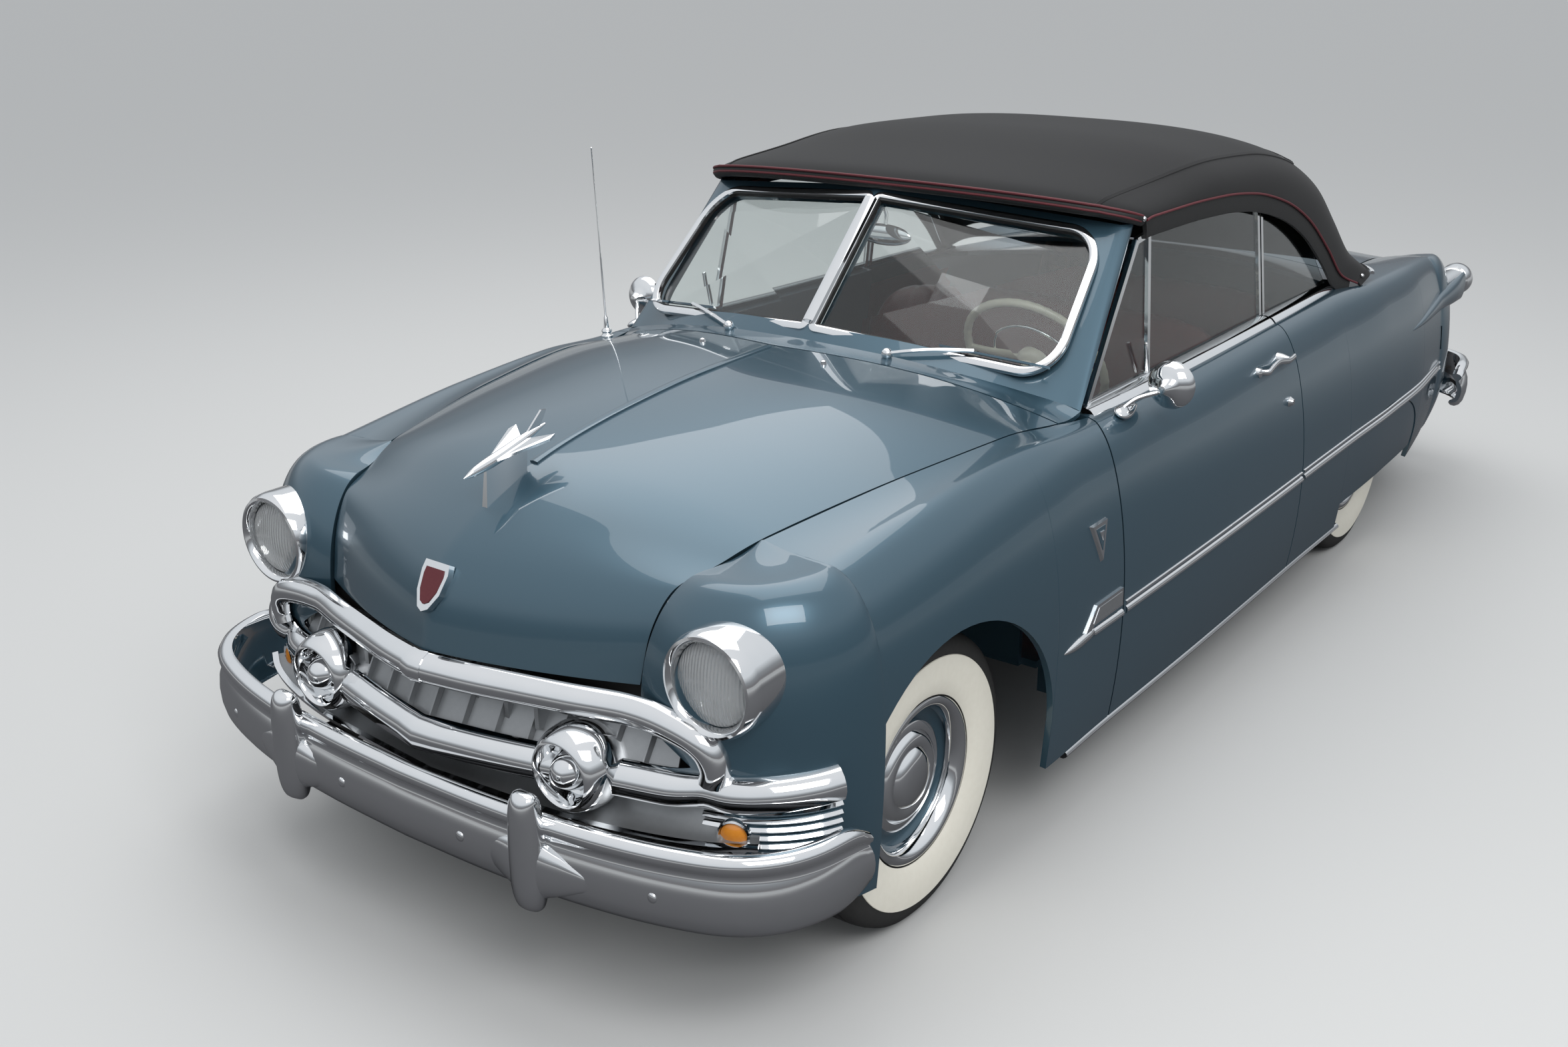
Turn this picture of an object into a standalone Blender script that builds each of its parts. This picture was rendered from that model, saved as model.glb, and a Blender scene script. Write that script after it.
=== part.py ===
"""A 1950s two-door convertible car with its fabric top up, built as separate panels and running gear.

Metres, +Z up, ground at Z = 0. The front of the car points along -Y and its left side is +X.
"""
import math

import bmesh
import bpy
from mathutils import Matrix, Vector

# Driving sizes of the whole car
FRONT_AXLE_Y = -1.670
WHEELBASE = 2.896
TRACK = 1.470
PANEL_GAP = 0.006
SEAT_GAP = 0.0004
SKIN = 0.016

# Wheels and tyres
TYRE_RADIUS = 0.352
TYRE_WIDTH = 0.176
RIM_RADIUS = 0.198
RIM_WIDTH = 0.140
SPINDLE_RADIUS = 0.024
SPINDLE_REACH = 0.050
BEARING_CLEARANCE = 0.0004

# Every piece below is drawn for this layout, and fitted() moves its points to the sizes above
DRAWN = {"track": 1.470, "wheelbase": 2.896, "wheel_height": 0.352}
REAR_AXLE_Y = FRONT_AXLE_Y + DRAWN["wheelbase"]

# Doors
DOOR_FRONT_Y = -0.900
DOOR_REAR_Y = 0.360
DOOR_THICKNESS = 0.105
DOOR_TOP_SHARE = 0.93
# The belt line is level from the windshield to the rear of the side windows
BELT_Z = 1.004
# Front edge of the door from the sill to its top: share of the section, and y
DOOR_FRONT_ROWS = [(0.0, -0.905), (0.3, -0.905), (0.55, -0.904), (0.75, -0.896), (0.93, -0.860)]
COWL_CORNER = 0.055

# Wheel openings
ARCH_CLEARANCE = 0.068
ARCH_RADIUS = TYRE_RADIUS + ARCH_CLEARANCE
ARCH_CENTRE_Z = 0.330
REAR_ARCH_TOP_Z = 0.560

# Body sections from the nose to the tail. Each is drawn outwards from the seam that it shares
# with the hood, the cabin or the trunk lid. turn is the direction of the section in degrees:
# 0 points to the side, -90 to the front and 90 to the rear.
# turn, y, seam_x, seam_z, crown_out, crown_z, reach, widest_z, sill_out, sill_z, shoulder power
BODY_SECTIONS = [
    (-108, -1.950, 0.578, 0.976, 0.137, 0.943, 0.306, 0.680, 0.304, 0.664, 2.05),
    (-78, -1.950, 0.578, 0.976, 0.165, 0.950, 0.304, 0.680, 0.290, 0.560, 2.15),
    (-52, -1.950, 0.578, 0.976, 0.180, 0.955, 0.303, 0.670, 0.288, 0.340, 2.20),
    (-26, -1.950, 0.578, 0.976, 0.170, 0.958, 0.304, 0.650, 0.290, 0.265, 2.25),
    (0, -1.950, 0.578, 0.976, 0.150, 0.961, 0.309, 0.620, 0.292, 0.245, 2.25),
    (0, -1.550, 0.660, 1.016, 0.095, 1.001, 0.250, 0.590, 0.232, 0.235, 2.10),
    (0, -1.200, 0.717, 1.028, 0.055, 1.019, 0.201, 0.550, 0.184, 0.225, 2.00),
    (0, DOOR_FRONT_Y, 0.742, BELT_Z, 0.052, BELT_Z, 0.178, 0.520, 0.157, 0.225, 1.95),
    (0, -0.300, 0.763, BELT_Z, 0.026, BELT_Z, 0.162, 0.500, 0.141, 0.225, 1.90),
    (0, DOOR_REAR_Y, 0.758, BELT_Z, 0.028, BELT_Z, 0.164, 0.500, 0.143, 0.225, 1.85),
    (0, 0.800, 0.742, BELT_Z, 0.046, BELT_Z, 0.178, 0.500, 0.160, 0.225, 1.85),
    (0, 1.250, 0.675, 0.978, 0.125, 0.984, 0.245, 0.500, 0.223, 0.230, 1.90),
    (0, 1.650, 0.632, 0.955, 0.158, 0.968, 0.276, 0.500, 0.248, 0.245, 1.90),
    (0, 1.950, 0.600, 0.922, 0.175, 0.948, 0.280, 0.500, 0.245, 0.270, 1.95),
    (30, 1.950, 0.600, 0.915, 0.195, 0.942, 0.308, 0.510, 0.262, 0.290, 2.10),
    (60, 1.950, 0.600, 0.905, 0.210, 0.915, 0.360, 0.520, 0.315, 0.300, 2.20),
    (90, 1.950, 0.600, 0.900, 0.200, 0.895, 0.380, 0.530, 0.335, 0.310, 2.30),
]
NOSE, NOSE_CORNER, TAIL_CORNER, TAIL = 0, 4, 13, 16
LOWER_SIDE, UPPER_SIDE = 0.30, 0.85

# Centre line of each lid or deck, and the body station and profile share that its edge follows
# centre_y, centre_z, station, share
HOOD_ROWS = [
    (-1.150, 1.136, 6.85, 1.00),
    (-1.450, 1.128, 6.00, 1.00),
    (-1.750, 1.103, 5.00, 1.00),
    (-2.000, 1.060, 4.00, 1.00),
    (-2.180, 0.995, 0.00, 0.88),
    (-2.300, 0.920, 0.00, 0.70),
    (-2.360, 0.830, 0.00, 0.52),
    (-2.388, 0.732, 0.00, 0.362),
]
TRUNK_ROWS = [
    (1.330, 1.020, 11.20, 1.00),
    (1.650, 1.000, 12.00, 1.00),
    (1.950, 0.955, 13.00, 1.00),
    (2.170, 0.880, 16.00, 0.88),
    (2.285, 0.780, 16.00, 0.66),
    (2.330, 0.670, 16.00, 0.46),
    (2.345, 0.560, 16.00, 0.30),
]

MATERIALS = {
    # name: colour, roughness, metallic
    "body_paint": ((0.105, 0.190, 0.262), 0.25, 0.6),
    "chrome": ((0.78, 0.79, 0.80), 0.08, 1.0),
    "grille_silver": ((0.30, 0.31, 0.32), 0.35, 0.9),
    "tyre_rubber": ((0.03, 0.03, 0.03), 0.85, 0.0),
    "glass": ((0.55, 0.60, 0.60), 0.03, 0.0),
    "lamp_glass": ((0.85, 0.87, 0.88), 0.10, 0.0),
    "red_lens": ((0.45, 0.02, 0.02), 0.15, 0.0),
    "top_fabric": ((0.018, 0.018, 0.020), 0.90, 0.0),
    "seat_leather": ((0.20, 0.030, 0.035), 0.50, 0.0),
    "ivory": ((0.78, 0.74, 0.60), 0.35, 0.0),
    "chassis_black": ((0.02, 0.02, 0.02), 0.60, 0.2),
    "iron": ((0.16, 0.17, 0.18), 0.60, 0.8),
}


def remove_old_objects():
    for old in list(bpy.data.objects):
        bpy.data.objects.remove(old)


def material(name):
    found = bpy.data.materials.get(name)
    if found:
        return found
    colour, roughness, metallic = MATERIALS[name]
    made = bpy.data.materials.new(name)
    made.use_nodes = True
    shader = made.node_tree.nodes["Principled BSDF"]
    shader.inputs["Base Color"].default_value = (*colour, 1)
    shader.inputs["Roughness"].default_value = roughness
    shader.inputs["Metallic"].default_value = metallic
    return made


def fitted(point):
    """A drawn point in the car as it is built. The doors take up a change of wheelbase."""
    longer = WHEELBASE - DRAWN["wheelbase"]
    along = min(max((point.y - DOOR_FRONT_Y) / (DOOR_REAR_Y - DOOR_FRONT_Y), 0.0), 1.0)
    return Vector((point.x * TRACK / DRAWN["track"], point.y + longer * along,
                   point.z + TYRE_RADIUS - DRAWN["wheel_height"]))


def finish(name, bm, material_name, smooth_angle=35):
    """Closes the bmesh into one named object with its material."""
    for vert in bm.verts:
        vert.co = fitted(vert.co)
    bmesh.ops.remove_doubles(bm, verts=bm.verts, dist=1e-6)
    bmesh.ops.dissolve_degenerate(bm, edges=bm.edges, dist=1e-6)
    bmesh.ops.recalc_face_normals(bm, faces=bm.faces)
    mesh = bpy.data.meshes.new(name)
    bm.to_mesh(mesh)
    bm.free()
    mesh.materials.append(material(material_name))
    mesh.shade_smooth()
    mesh.set_sharp_from_angle(angle=math.radians(smooth_angle))
    made = bpy.data.objects.new(name, mesh)
    bpy.context.scene.collection.objects.link(made)
    return made


def boolean(target, other, operation):
    """Cuts target with other, or joins other to it, and hides other from the build."""
    modifier = target.modifiers.new(operation.lower(), "BOOLEAN")
    modifier.operation = operation
    modifier.solver = "EXACT"
    modifier.object = other
    other.hide_render = True
    other.display_type = "WIRE"
    return target


def smooth_step_rows(rows, s):
    """Columns of a table between its rows, with no overshoot, at row number s."""
    last = len(rows) - 1
    s = min(max(s, 0.0), float(last))
    i = min(int(s), last - 1)
    t = s - i

    def slope(k, column):
        if k == 0 or k == last:
            return 0.0 if last < 2 else (
                rows[1][column] - rows[0][column] if k == 0 else rows[last][column] - rows[last - 1][column])
        before = rows[k][column] - rows[k - 1][column]
        after = rows[k + 1][column] - rows[k][column]
        return 0.0 if before * after <= 0 else 2 * before * after / (before + after)

    values = []
    for column in range(len(rows[0])):
        a, b = rows[i][column], rows[i + 1][column]
        ma, mb = slope(i, column), slope(i + 1, column)
        values.append(a * (2 * t**3 - 3 * t**2 + 1) + ma * (t**3 - 2 * t**2 + t)
                      + b * (3 * t**2 - 2 * t**3) + mb * (t**3 - t**2))
    return values


def profile(section, share):
    """Distance out from the seam and height, at a share of the way from the sill to the seam."""
    _, _, _, seam_z, crown_out, crown_z, reach, widest_z, sill_out, sill_z, shoulder_power = section
    if share < LOWER_SIDE:
        t = share / LOWER_SIDE
        return reach - (reach - sill_out) * (1 - t) ** 2, sill_z + (widest_z - sill_z) * t
    if share < UPPER_SIDE:
        angle = (share - LOWER_SIDE) / (UPPER_SIDE - LOWER_SIDE) * math.pi / 2
        power = 2 / shoulder_power
        return (crown_out + (reach - crown_out) * math.cos(angle) ** power,
                widest_z + (crown_z - widest_z) * math.sin(angle) ** power)
    t = (share - UPPER_SIDE) / (1 - UPPER_SIDE)
    return crown_out * (1 - t), crown_z + (seam_z - crown_z) * t * t


def body_point(station, share, inset=0.0, seam_gap=0.0):
    """A point of the left body side, moved in by inset square to the skin within its section."""
    section = smooth_step_rows(BODY_SECTIONS, station)
    out, z = profile(section, share)
    if inset:
        step = 0.004
        out_a, z_a = profile(section, max(share - step, 0.0))
        out_b, z_b = profile(section, min(share + step, 1.0))
        run = Vector((out_b - out_a, z_b - z_a)).normalized()
        out -= run.y * inset
        z += run.x * inset
    out += seam_gap
    turn = math.radians(section[0])
    return Vector((section[2] + out * math.cos(turn), section[1] + out * math.sin(turn), z))


def station_at(y):
    """The body station on the straight side, from the nose corner to the tail corner, at y."""
    low, high = float(NOSE_CORNER), float(TAIL_CORNER)
    for _ in range(40):
        middle = (low + high) / 2
        if smooth_step_rows(BODY_SECTIONS, middle)[1] < y:
            low = middle
        else:
            high = middle
    return (low + high) / 2


def grid_shell(outer, inner, columns, rows):
    """A closed bmesh between two surfaces, each a function of u and v from 0 to 1."""
    bm = bmesh.new()
    bmesh.ops.create_grid(bm, x_segments=columns, y_segments=rows, size=0.5)
    u_layer = bm.verts.layers.float.new("u")
    v_layer = bm.verts.layers.float.new("v")
    for vert in bm.verts:
        vert[u_layer] = vert.co.x + 0.5
        vert[v_layer] = vert.co.y + 0.5
    made = bmesh.ops.extrude_face_region(
        bm, geom=bm.verts[:] + bm.edges[:] + bm.faces[:], use_keep_orig=True)
    back = {item for item in made["geom"] if isinstance(item, bmesh.types.BMVert)}
    for vert in bm.verts:
        surface = inner if vert in back else outer
        vert.co = surface(vert[u_layer], vert[v_layer])
    return bm


def mirrored(bm, side):
    if side < 0:
        bmesh.ops.scale(bm, verts=bm.verts, vec=(-1, 1, 1))
    return bm


def loft(rings, closed_ends=True):
    """A closed bmesh through rings that have the same number of points."""
    bm = bmesh.new()
    made = []
    for ring in rings:
        verts = [bm.verts.new(point) for point in ring]
        edges = [bm.edges.new((verts[i - 1], verts[i])) for i in range(len(verts))]
        made.append((verts, edges))
    for (first, _), (second, _) in zip(made, made[1:]):
        count = len(first)
        for i in range(count):
            bm.faces.new((first[i - 1], first[i], second[i], second[i - 1]))
    if closed_ends:
        bm.faces.new(made[0][0])
        bm.faces.new(made[-1][0])
    return bm


def sweep(path, outline):
    """A bar along a level path: outline holds points as distance out to the left, and up."""
    rings = []
    for i, point in enumerate(path):
        before = path[max(i - 1, 0)]
        after = path[min(i + 1, len(path) - 1)]
        run = (Vector(after) - Vector(before)).normalized()
        left = Vector((run.y, -run.x, 0)).normalized()
        rings.append([Vector(point) + left * out + Vector((0, 0, up)) for out, up in outline])
    return loft(rings)


def box(low, high):
    bm = bmesh.new()
    bmesh.ops.create_cube(bm, size=1)
    size = Vector(high) - Vector(low)
    middle = (Vector(high) + Vector(low)) / 2
    bmesh.ops.scale(bm, verts=bm.verts, vec=size)
    bmesh.ops.translate(bm, verts=bm.verts, vec=middle)
    return bm


def cutter(bm, name="cutter"):
    return finish(name, bm, "chassis_black")


def turned(profile_points, steps, centre, axis="X"):
    """A body of revolution: points are distance along the axis, and radius."""
    bm = bmesh.new()
    verts = [bm.verts.new((along, 0, radius)) for along, radius in profile_points]
    edges = []
    for first, second in zip(verts, verts[1:] + verts[:1]):
        if first.co.z > 1e-6 or second.co.z > 1e-6:
            edges.append(bm.edges.new((first, second)))
    bmesh.ops.spin(bm, geom=verts + edges, cent=(0, 0, 0), axis=(1, 0, 0),
                   angle=math.tau, steps=steps, use_merge=True)
    bmesh.ops.remove_doubles(bm, verts=bm.verts, dist=1e-6)
    if axis == "Y":
        bmesh.ops.rotate(bm, verts=bm.verts, matrix=Matrix.Rotation(math.pi / 2, 3, "Z"))
    elif axis == "Z":
        bmesh.ops.rotate(bm, verts=bm.verts, matrix=Matrix.Rotation(-math.pi / 2, 3, "Y"))
    bmesh.ops.translate(bm, verts=bm.verts, vec=centre)
    return bm


def rod(start, end, radius, sides=8):
    """A straight round bar between two points."""
    start, end = Vector(start), Vector(end)
    bm = bmesh.new()
    bmesh.ops.create_cone(bm, cap_ends=True, segments=sides, radius1=radius, radius2=radius,
                          depth=(end - start).length)
    turn = (end - start).to_track_quat("Z", "Y").to_matrix()
    bmesh.ops.rotate(bm, verts=bm.verts, matrix=turn)
    bmesh.ops.translate(bm, verts=bm.verts, vec=(start + end) / 2)
    return bm


def arch_cutter(centre_y, top_z, half_length, low_x, high_x, side):
    """A prism with a half-elliptical top that opens a wheel arch."""
    steps = 12
    outline = [(half_length, -0.1)]
    for i in range(steps + 1):
        angle = math.pi * i / steps
        outline.append((half_length * math.cos(angle),
                        ARCH_CENTRE_Z + (top_z - ARCH_CENTRE_Z) * math.sin(angle)))
    outline.append((-half_length, -0.1))
    rings = [[Vector((x * side, centre_y + y, z)) for y, z in outline] for x in (low_x, high_x)]
    return cutter(loft(rings), "arch_cutter")


def side_panel(place, columns, rows, side, inner=None):
    """A body side from the sill up to the seam. place gives the station and share at u and v."""
    half = PANEL_GAP / 2

    def outer_surface(u, v):
        station, share = place(u, v)
        return body_point(station, share, seam_gap=half)

    def inner_surface(u, v):
        station, share = place(u, v)
        return body_point(station, share, inset=SKIN, seam_gap=half)

    return mirrored(grid_shell(outer_surface, inner or inner_surface, columns, rows), side)


def door_front_y(share):
    """The gap between fender and door runs up with a rearward sweep to the windshield pillar."""
    rows = DOOR_FRONT_ROWS
    place = 0
    while place < len(rows) - 2 and share > rows[place + 1][0]:
        place += 1
    step = (share - rows[place][0]) / (rows[place + 1][0] - rows[place][0])
    return smooth_step_rows(rows, place + step)[1]


LAMP_X, LAMP_Z, LAMP_RADIUS = 0.676, 0.787, 0.115
LAMP_GAP = 0.0005
LAMP_STEPS = 20
# Where the fender starts beside the hood, as a body station
FENDER_START = 0.035


def make_fender(side, name):
    columns = 16
    bend = 1 - 1 / columns

    def place(u, v):
        share = v * (1 - (1 - DOOR_TOP_SHARE) * max(u - bend, 0) / (1 - bend))
        rear_y = door_front_y(min(share, DOOR_TOP_SHARE)) - PANEL_GAP / 2
        corner = station_at(rear_y - COWL_CORNER)
        if u <= bend:
            return FENDER_START + (corner - FENDER_START) * u / bend, share
        return corner + (station_at(rear_y) - corner) * (u - bend) / (1 - bend), share

    fender = finish(name, side_panel(place, columns, 9, side), "body_paint")
    boolean(fender, arch_cutter(FRONT_AXLE_Y, ARCH_CENTRE_Z + ARCH_RADIUS, ARCH_RADIUS, 0.55, 1.1, side),
            "DIFFERENCE")
    radius = LAMP_RADIUS + LAMP_GAP
    hole = turned([(0, 0), (0, radius), (0.40, radius), (0.40, 0)], LAMP_STEPS, (side * LAMP_X, -2.45, LAMP_Z), "Y")
    boolean(fender, cutter(hole, "lamp_cutter"), "DIFFERENCE")
    return fender


TAIL_LAMP_X, TAIL_LAMP_Z, TAIL_LAMP_RADIUS = 0.800, 0.795, 0.052
TAIL_LAMP_STEPS = 16


def make_quarter(side, name):
    first = station_at(DOOR_REAR_Y + PANEL_GAP / 2)
    quarter = finish(name, side_panel(lambda u, v: (first + (TAIL - first) * u, v), 14, 9, side), "body_paint")
    boolean(quarter, arch_cutter(REAR_AXLE_Y, REAR_ARCH_TOP_Z, ARCH_RADIUS, 0.55, 1.1, side), "DIFFERENCE")
    radius = TAIL_LAMP_RADIUS + LAMP_GAP
    hole = turned([(0, 0), (0, radius), (0.42, radius), (0.42, 0)], TAIL_LAMP_STEPS,
                  (side * TAIL_LAMP_X, 1.98, TAIL_LAMP_Z), "Y")
    boolean(quarter, cutter(hole, "lamp_cutter"), "DIFFERENCE")
    return quarter


def make_skirt(side, name):
    """The removable panel that covers the top half of the rear wheel."""
    skirt_low_z, edge_gap = 0.305, 0.004
    half_length = ARCH_RADIUS - edge_gap
    top_z = REAR_ARCH_TOP_Z - edge_gap

    def surface(inset):
        def point(u, v):
            y = REAR_AXLE_Y - half_length + 2 * half_length * u
            rise = math.sqrt(max(1 - ((y - REAR_AXLE_Y) / half_length) ** 2, 0))
            high = ARCH_CENTRE_Z + (top_z - ARCH_CENTRE_Z) * rise
            z = skirt_low_z + (max(high, skirt_low_z + 0.004) - skirt_low_z) * v
            section = smooth_step_rows(BODY_SECTIONS, station_at(y))
            sill_z, widest_z = section[9], section[7]
            share = LOWER_SIDE * min((z - sill_z) / (widest_z - sill_z), 1)
            placed = body_point(station_at(y), share, inset=inset)
            placed.z = z
            return placed
        return point

    bm = grid_shell(surface(0.0), surface(SKIN), 12, 3)
    return finish(name, mirrored(bm, side), "body_paint")


DOOR_INNER_TOP_X = 0.700


def make_door(side, name):
    """The whole door: outer skin, flat top that carries the glass, and the trimmed inner side."""
    last = station_at(DOOR_REAR_Y - PANEL_GAP / 2)
    rear_bevel, front_bevel, sill_step = 0.018, 0.012, 0.012

    def place(u, v):
        share = DOOR_TOP_SHARE * v
        first = station_at(door_front_y(share) + PANEL_GAP / 2)
        return first + (last - first) * u, share

    def inner(u, v):
        station, share = place(u, v)
        outer = body_point(station, share)
        low_x = body_point(station, 0.0).x - DOOR_THICKNESS
        low_z = body_point(station, 0.0).z + sill_step
        swept = door_front_y(DOOR_TOP_SHARE) - door_front_y(share)
        return Vector((low_x + (DOOR_INNER_TOP_X - low_x) * v,
                       outer.y + (front_bevel + swept) * (1 - u) - rear_bevel * u,
                       low_z + (BELT_Z - low_z) * v))

    return finish(name, side_panel(place, 8, 9, side, inner), "body_paint")


def lid_surface(rows, edge_gap, end_gaps=(0.0, 0.0), crown=2.6, crease=0.12, prow=0.5):
    """A crowned lid between the left and right seams: u runs along it and v across it."""
    edges = []
    for centre_y, centre_z, station, share in rows:
        edge = body_point(station, share)
        edges.append((centre_y, centre_z, edge.x, edge.y, edge.z))

    def point(u, v):
        centre_y, centre_z, edge_x, edge_y, edge_z = smooth_step_rows(edges, u * (len(edges) - 1))
        across = 2 * v - 1
        t = abs(across)
        height = 1 - crease * t - (1 - crease) * t**crown
        forward = 1 - prow * t - (1 - prow) * t * t
        start, end = end_gaps
        shift = start * (1 - u) - end * u
        return Vector(((edge_x - edge_gap) * across,
                       edge_y + (centre_y - edge_y) * forward + shift,
                       edge_z + (centre_z - edge_z) * height))

    return point


def offset_surface(surface, depth):
    """The surface moved square to itself."""
    step = 0.01

    def point(u, v):
        u0, u1 = max(u - step, 0), min(u + step, 1)
        v0, v1 = max(v - step, 0), min(v + step, 1)
        along = surface(u1, v) - surface(u0, v)
        across = surface(u, v1) - surface(u, v0)
        return surface(u, v) + along.cross(across).normalized() * depth

    return point


def make_hood():
    surface = lid_surface(HOOD_ROWS, PANEL_GAP / 2, end_gaps=(-PANEL_GAP / 2, 0))
    bm = grid_shell(surface, offset_surface(surface, -0.018), 14, 12)
    return finish("hood", bm, "body_paint")


def make_trunk_lid():
    surface = lid_surface(TRUNK_ROWS, PANEL_GAP / 2, end_gaps=(PANEL_GAP / 2, 0), crease=0.0, prow=0.0)
    bm = grid_shell(surface, offset_surface(surface, 0.018), 10, 10)
    return finish("trunk_lid", bm, "body_paint")


def make_rear_deck():
    """The fixed panel between the folding top and the trunk lid."""
    rows = [
        (1.172, 1.024, station_at(1.065), 1.0),
        (1.240, 1.024, station_at(1.180), 1.0),
        (TRUNK_ROWS[0][0] - PANEL_GAP / 2, TRUNK_ROWS[0][1], TRUNK_ROWS[0][2] - 0.015, 1.0),
    ]
    surface = lid_surface(rows, PANEL_GAP / 2, crease=0.0, prow=0.0)
    bm = grid_shell(surface, offset_surface(surface, SKIN), 3, 12)
    return finish("rear_deck", bm, "body_paint")


def make_rear_panel():
    """The body end below the trunk lid."""
    top_gap = PANEL_GAP
    last_share = TRUNK_ROWS[-1][3]

    def surface(u, v):
        edge = body_point(TAIL, last_share * v)
        centre_y = TRUNK_ROWS[-1][0] - 0.06 * (1 - v)
        centre_z = 0.31 + (TRUNK_ROWS[-1][1] - 0.31) * v
        across = 2 * u - 1
        return Vector(((edge.x - PANEL_GAP / 2) * across,
                       edge.y + (centre_y - edge.y) * (1 - across * across),
                       edge.z + (centre_z - edge.z) * (1 - across * across) - top_gap))

    def inner(u, v):
        return surface(u, v) - Vector((0, SKIN, 0))

    panel = finish("rear_panel", grid_shell(surface, inner, 10, 3), "body_paint")
    for side in (1, -1):
        slot = box((side * BRACKET_X - 0.036, 2.20, 0.339), (side * BRACKET_X + 0.036, 2.45, 0.421))
        boolean(panel, cutter(slot, "bracket_slot"), "DIFFERENCE")
    return panel


# Corners of the left windshield pane, on the plane of the glass
PANE_LOW_CENTRE = Vector((0, -0.990, 1.157))
PANE_LOW_SIDE = Vector((0.669, -0.882, 1.102))
PANE_TOP_CENTRE = Vector((0, -0.685, 1.457))
PANE_TOP_SIDE = Vector((0.633, -0.562, 1.399))
FRAME_TOP = 1.10
WS_DEPTH = 0.038
# Columns of the frame from the centre to the pillar: share across the pane and the lower edge.
# The last column is the pillar's rear edge, beside the door glass
FRAME_COLUMNS = [
    (0.00, Vector((0.000, -1.022, 1.127))),
    (0.35, Vector((0.235, -1.000, 1.116))),
    (0.70, Vector((0.470, -0.955, 1.086))),
    (1.06, Vector((0.716, -0.876, 1.030))),
]
PILLAR_REAR_LOW = Vector((0.753, -0.868, 1.018))
PILLAR_REAR_TOP = Vector((0.684, -0.478, 1.426))


def windshield_point(across, up, depth=0.0):
    """across is 1 at the pane's outer side and up is 1 at its top; depth is behind the face."""
    side = 1 if across >= 0 else -1
    t = abs(across)
    low = PANE_LOW_CENTRE.lerp(PANE_LOW_SIDE, t)
    high = PANE_TOP_CENTRE.lerp(PANE_TOP_SIDE, t)
    point = low.lerp(high, up)
    point += Vector((0, 0.70, -0.71)) * depth
    point.x *= side
    return point


def frame_low_edge(u):
    """A point on the frame's lower edge, from the right pillar at 0 to the left pillar at 1."""
    columns = [low for _, low in FRAME_COLUMNS] + [PILLAR_REAR_LOW]
    place = abs(2 * u - 1) * (len(columns) - 1)
    i = min(int(place), len(columns) - 2)
    point = columns[i].lerp(columns[i + 1], place - i)
    return Vector((-point.x if u < 0.5 else point.x, point.y, point.z))


def pane_outline(inset, depth):
    """The rounded opening of the left pane at a depth below the frame's face."""
    centre_bar = 0.030
    corner_a, corner_b, square, steps = 0.13, 0.25, 0.01, 5
    low_a, high_a, low_b, high_b = centre_bar + inset, 1 - inset, inset, 1 - inset
    corners = [(high_a, low_b, -90, corner_a, corner_b), (high_a, high_b, 0, corner_a, corner_b),
               (low_a, high_b, 90, square, square), (low_a, low_b, 180, square, square)]
    points = []
    for a, b, start, wide, tall in corners:
        sign_a = 1 if a == high_a else -1
        sign_b = 1 if b == high_b else -1
        for i in range(steps + 1):
            angle = math.radians(start + 90 * i / steps)
            points.append(windshield_point(a - sign_a * wide + wide * math.cos(angle),
                                           b - sign_b * tall + tall * math.sin(angle), depth))
    return points


def make_windshield():
    """Painted frame with its centre bar, and the two flat panes."""
    last = len(FRAME_COLUMNS)

    def face(depth):
        def point(u, v):
            place = round(abs(2 * u - 1) * last)
            low = frame_low_edge(u)
            side = -1 if u < 0.5 else 1
            if place == last:
                top = Vector((PILLAR_REAR_TOP.x * side, PILLAR_REAR_TOP.y, PILLAR_REAR_TOP.z))
                return low.lerp(top, v) - Vector((side * depth, 0, 0))
            top = windshield_point(side * FRAME_COLUMNS[place][0], FRAME_TOP)
            behind = Vector((0, 1, 0)) if v == 0 else Vector((0, 0.70, -0.71))
            return low.lerp(top, v) + behind * depth
        return point

    frame = finish("windshield_frame", grid_shell(face(0), face(WS_DEPTH), 2 * last, 1), "body_paint")
    glass_depth, glass_thickness, clearance = 0.012, 0.006, 0.0010
    for side, name in ((1, "windshield_glass_left"), (-1, "windshield_glass_right")):
        rings = [pane_outline(0.0, -0.05), pane_outline(0.0, WS_DEPTH + 0.05)]
        boolean(frame, cutter(mirrored(loft(rings), side), "pane_cutter"), "DIFFERENCE")
        rings = [pane_outline(clearance, glass_depth), pane_outline(clearance, glass_depth + glass_thickness)]
        finish(name, mirrored(loft(rings), side), "glass")


def make_cowl():
    """The panel between the hood and the windshield."""
    def surface(u, v):
        front = lid_surface(HOOD_ROWS, PANEL_GAP / 2)(0.0, v)
        front.y += PANEL_GAP / 2
        back = frame_low_edge(v)
        back.y -= SEAT_GAP * 2
        back.z -= 0.002
        return front.lerp(back, u)

    def below(u, v):
        return surface(u, v) + Vector((0, -0.008 * u, -0.012))

    return finish("cowl", grid_shell(surface, below, 2, 16), "body_paint")


def joined(name, shapes, material_name):
    """One solid from several closed shapes that overlap."""
    base = finish(name, shapes[0], material_name)
    for shape in shapes[1:]:
        boolean(base, cutter(shape, "joined_shape"), "UNION")
    return base


SILL_OUT = 0.772
FLOOR_Z, FLOOR_PLATE = 0.320, 0.020
TRUNK_FLOOR_Z = 0.505
KICK_UP_Y = 0.600
FIREWALL_Y = -0.940


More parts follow.
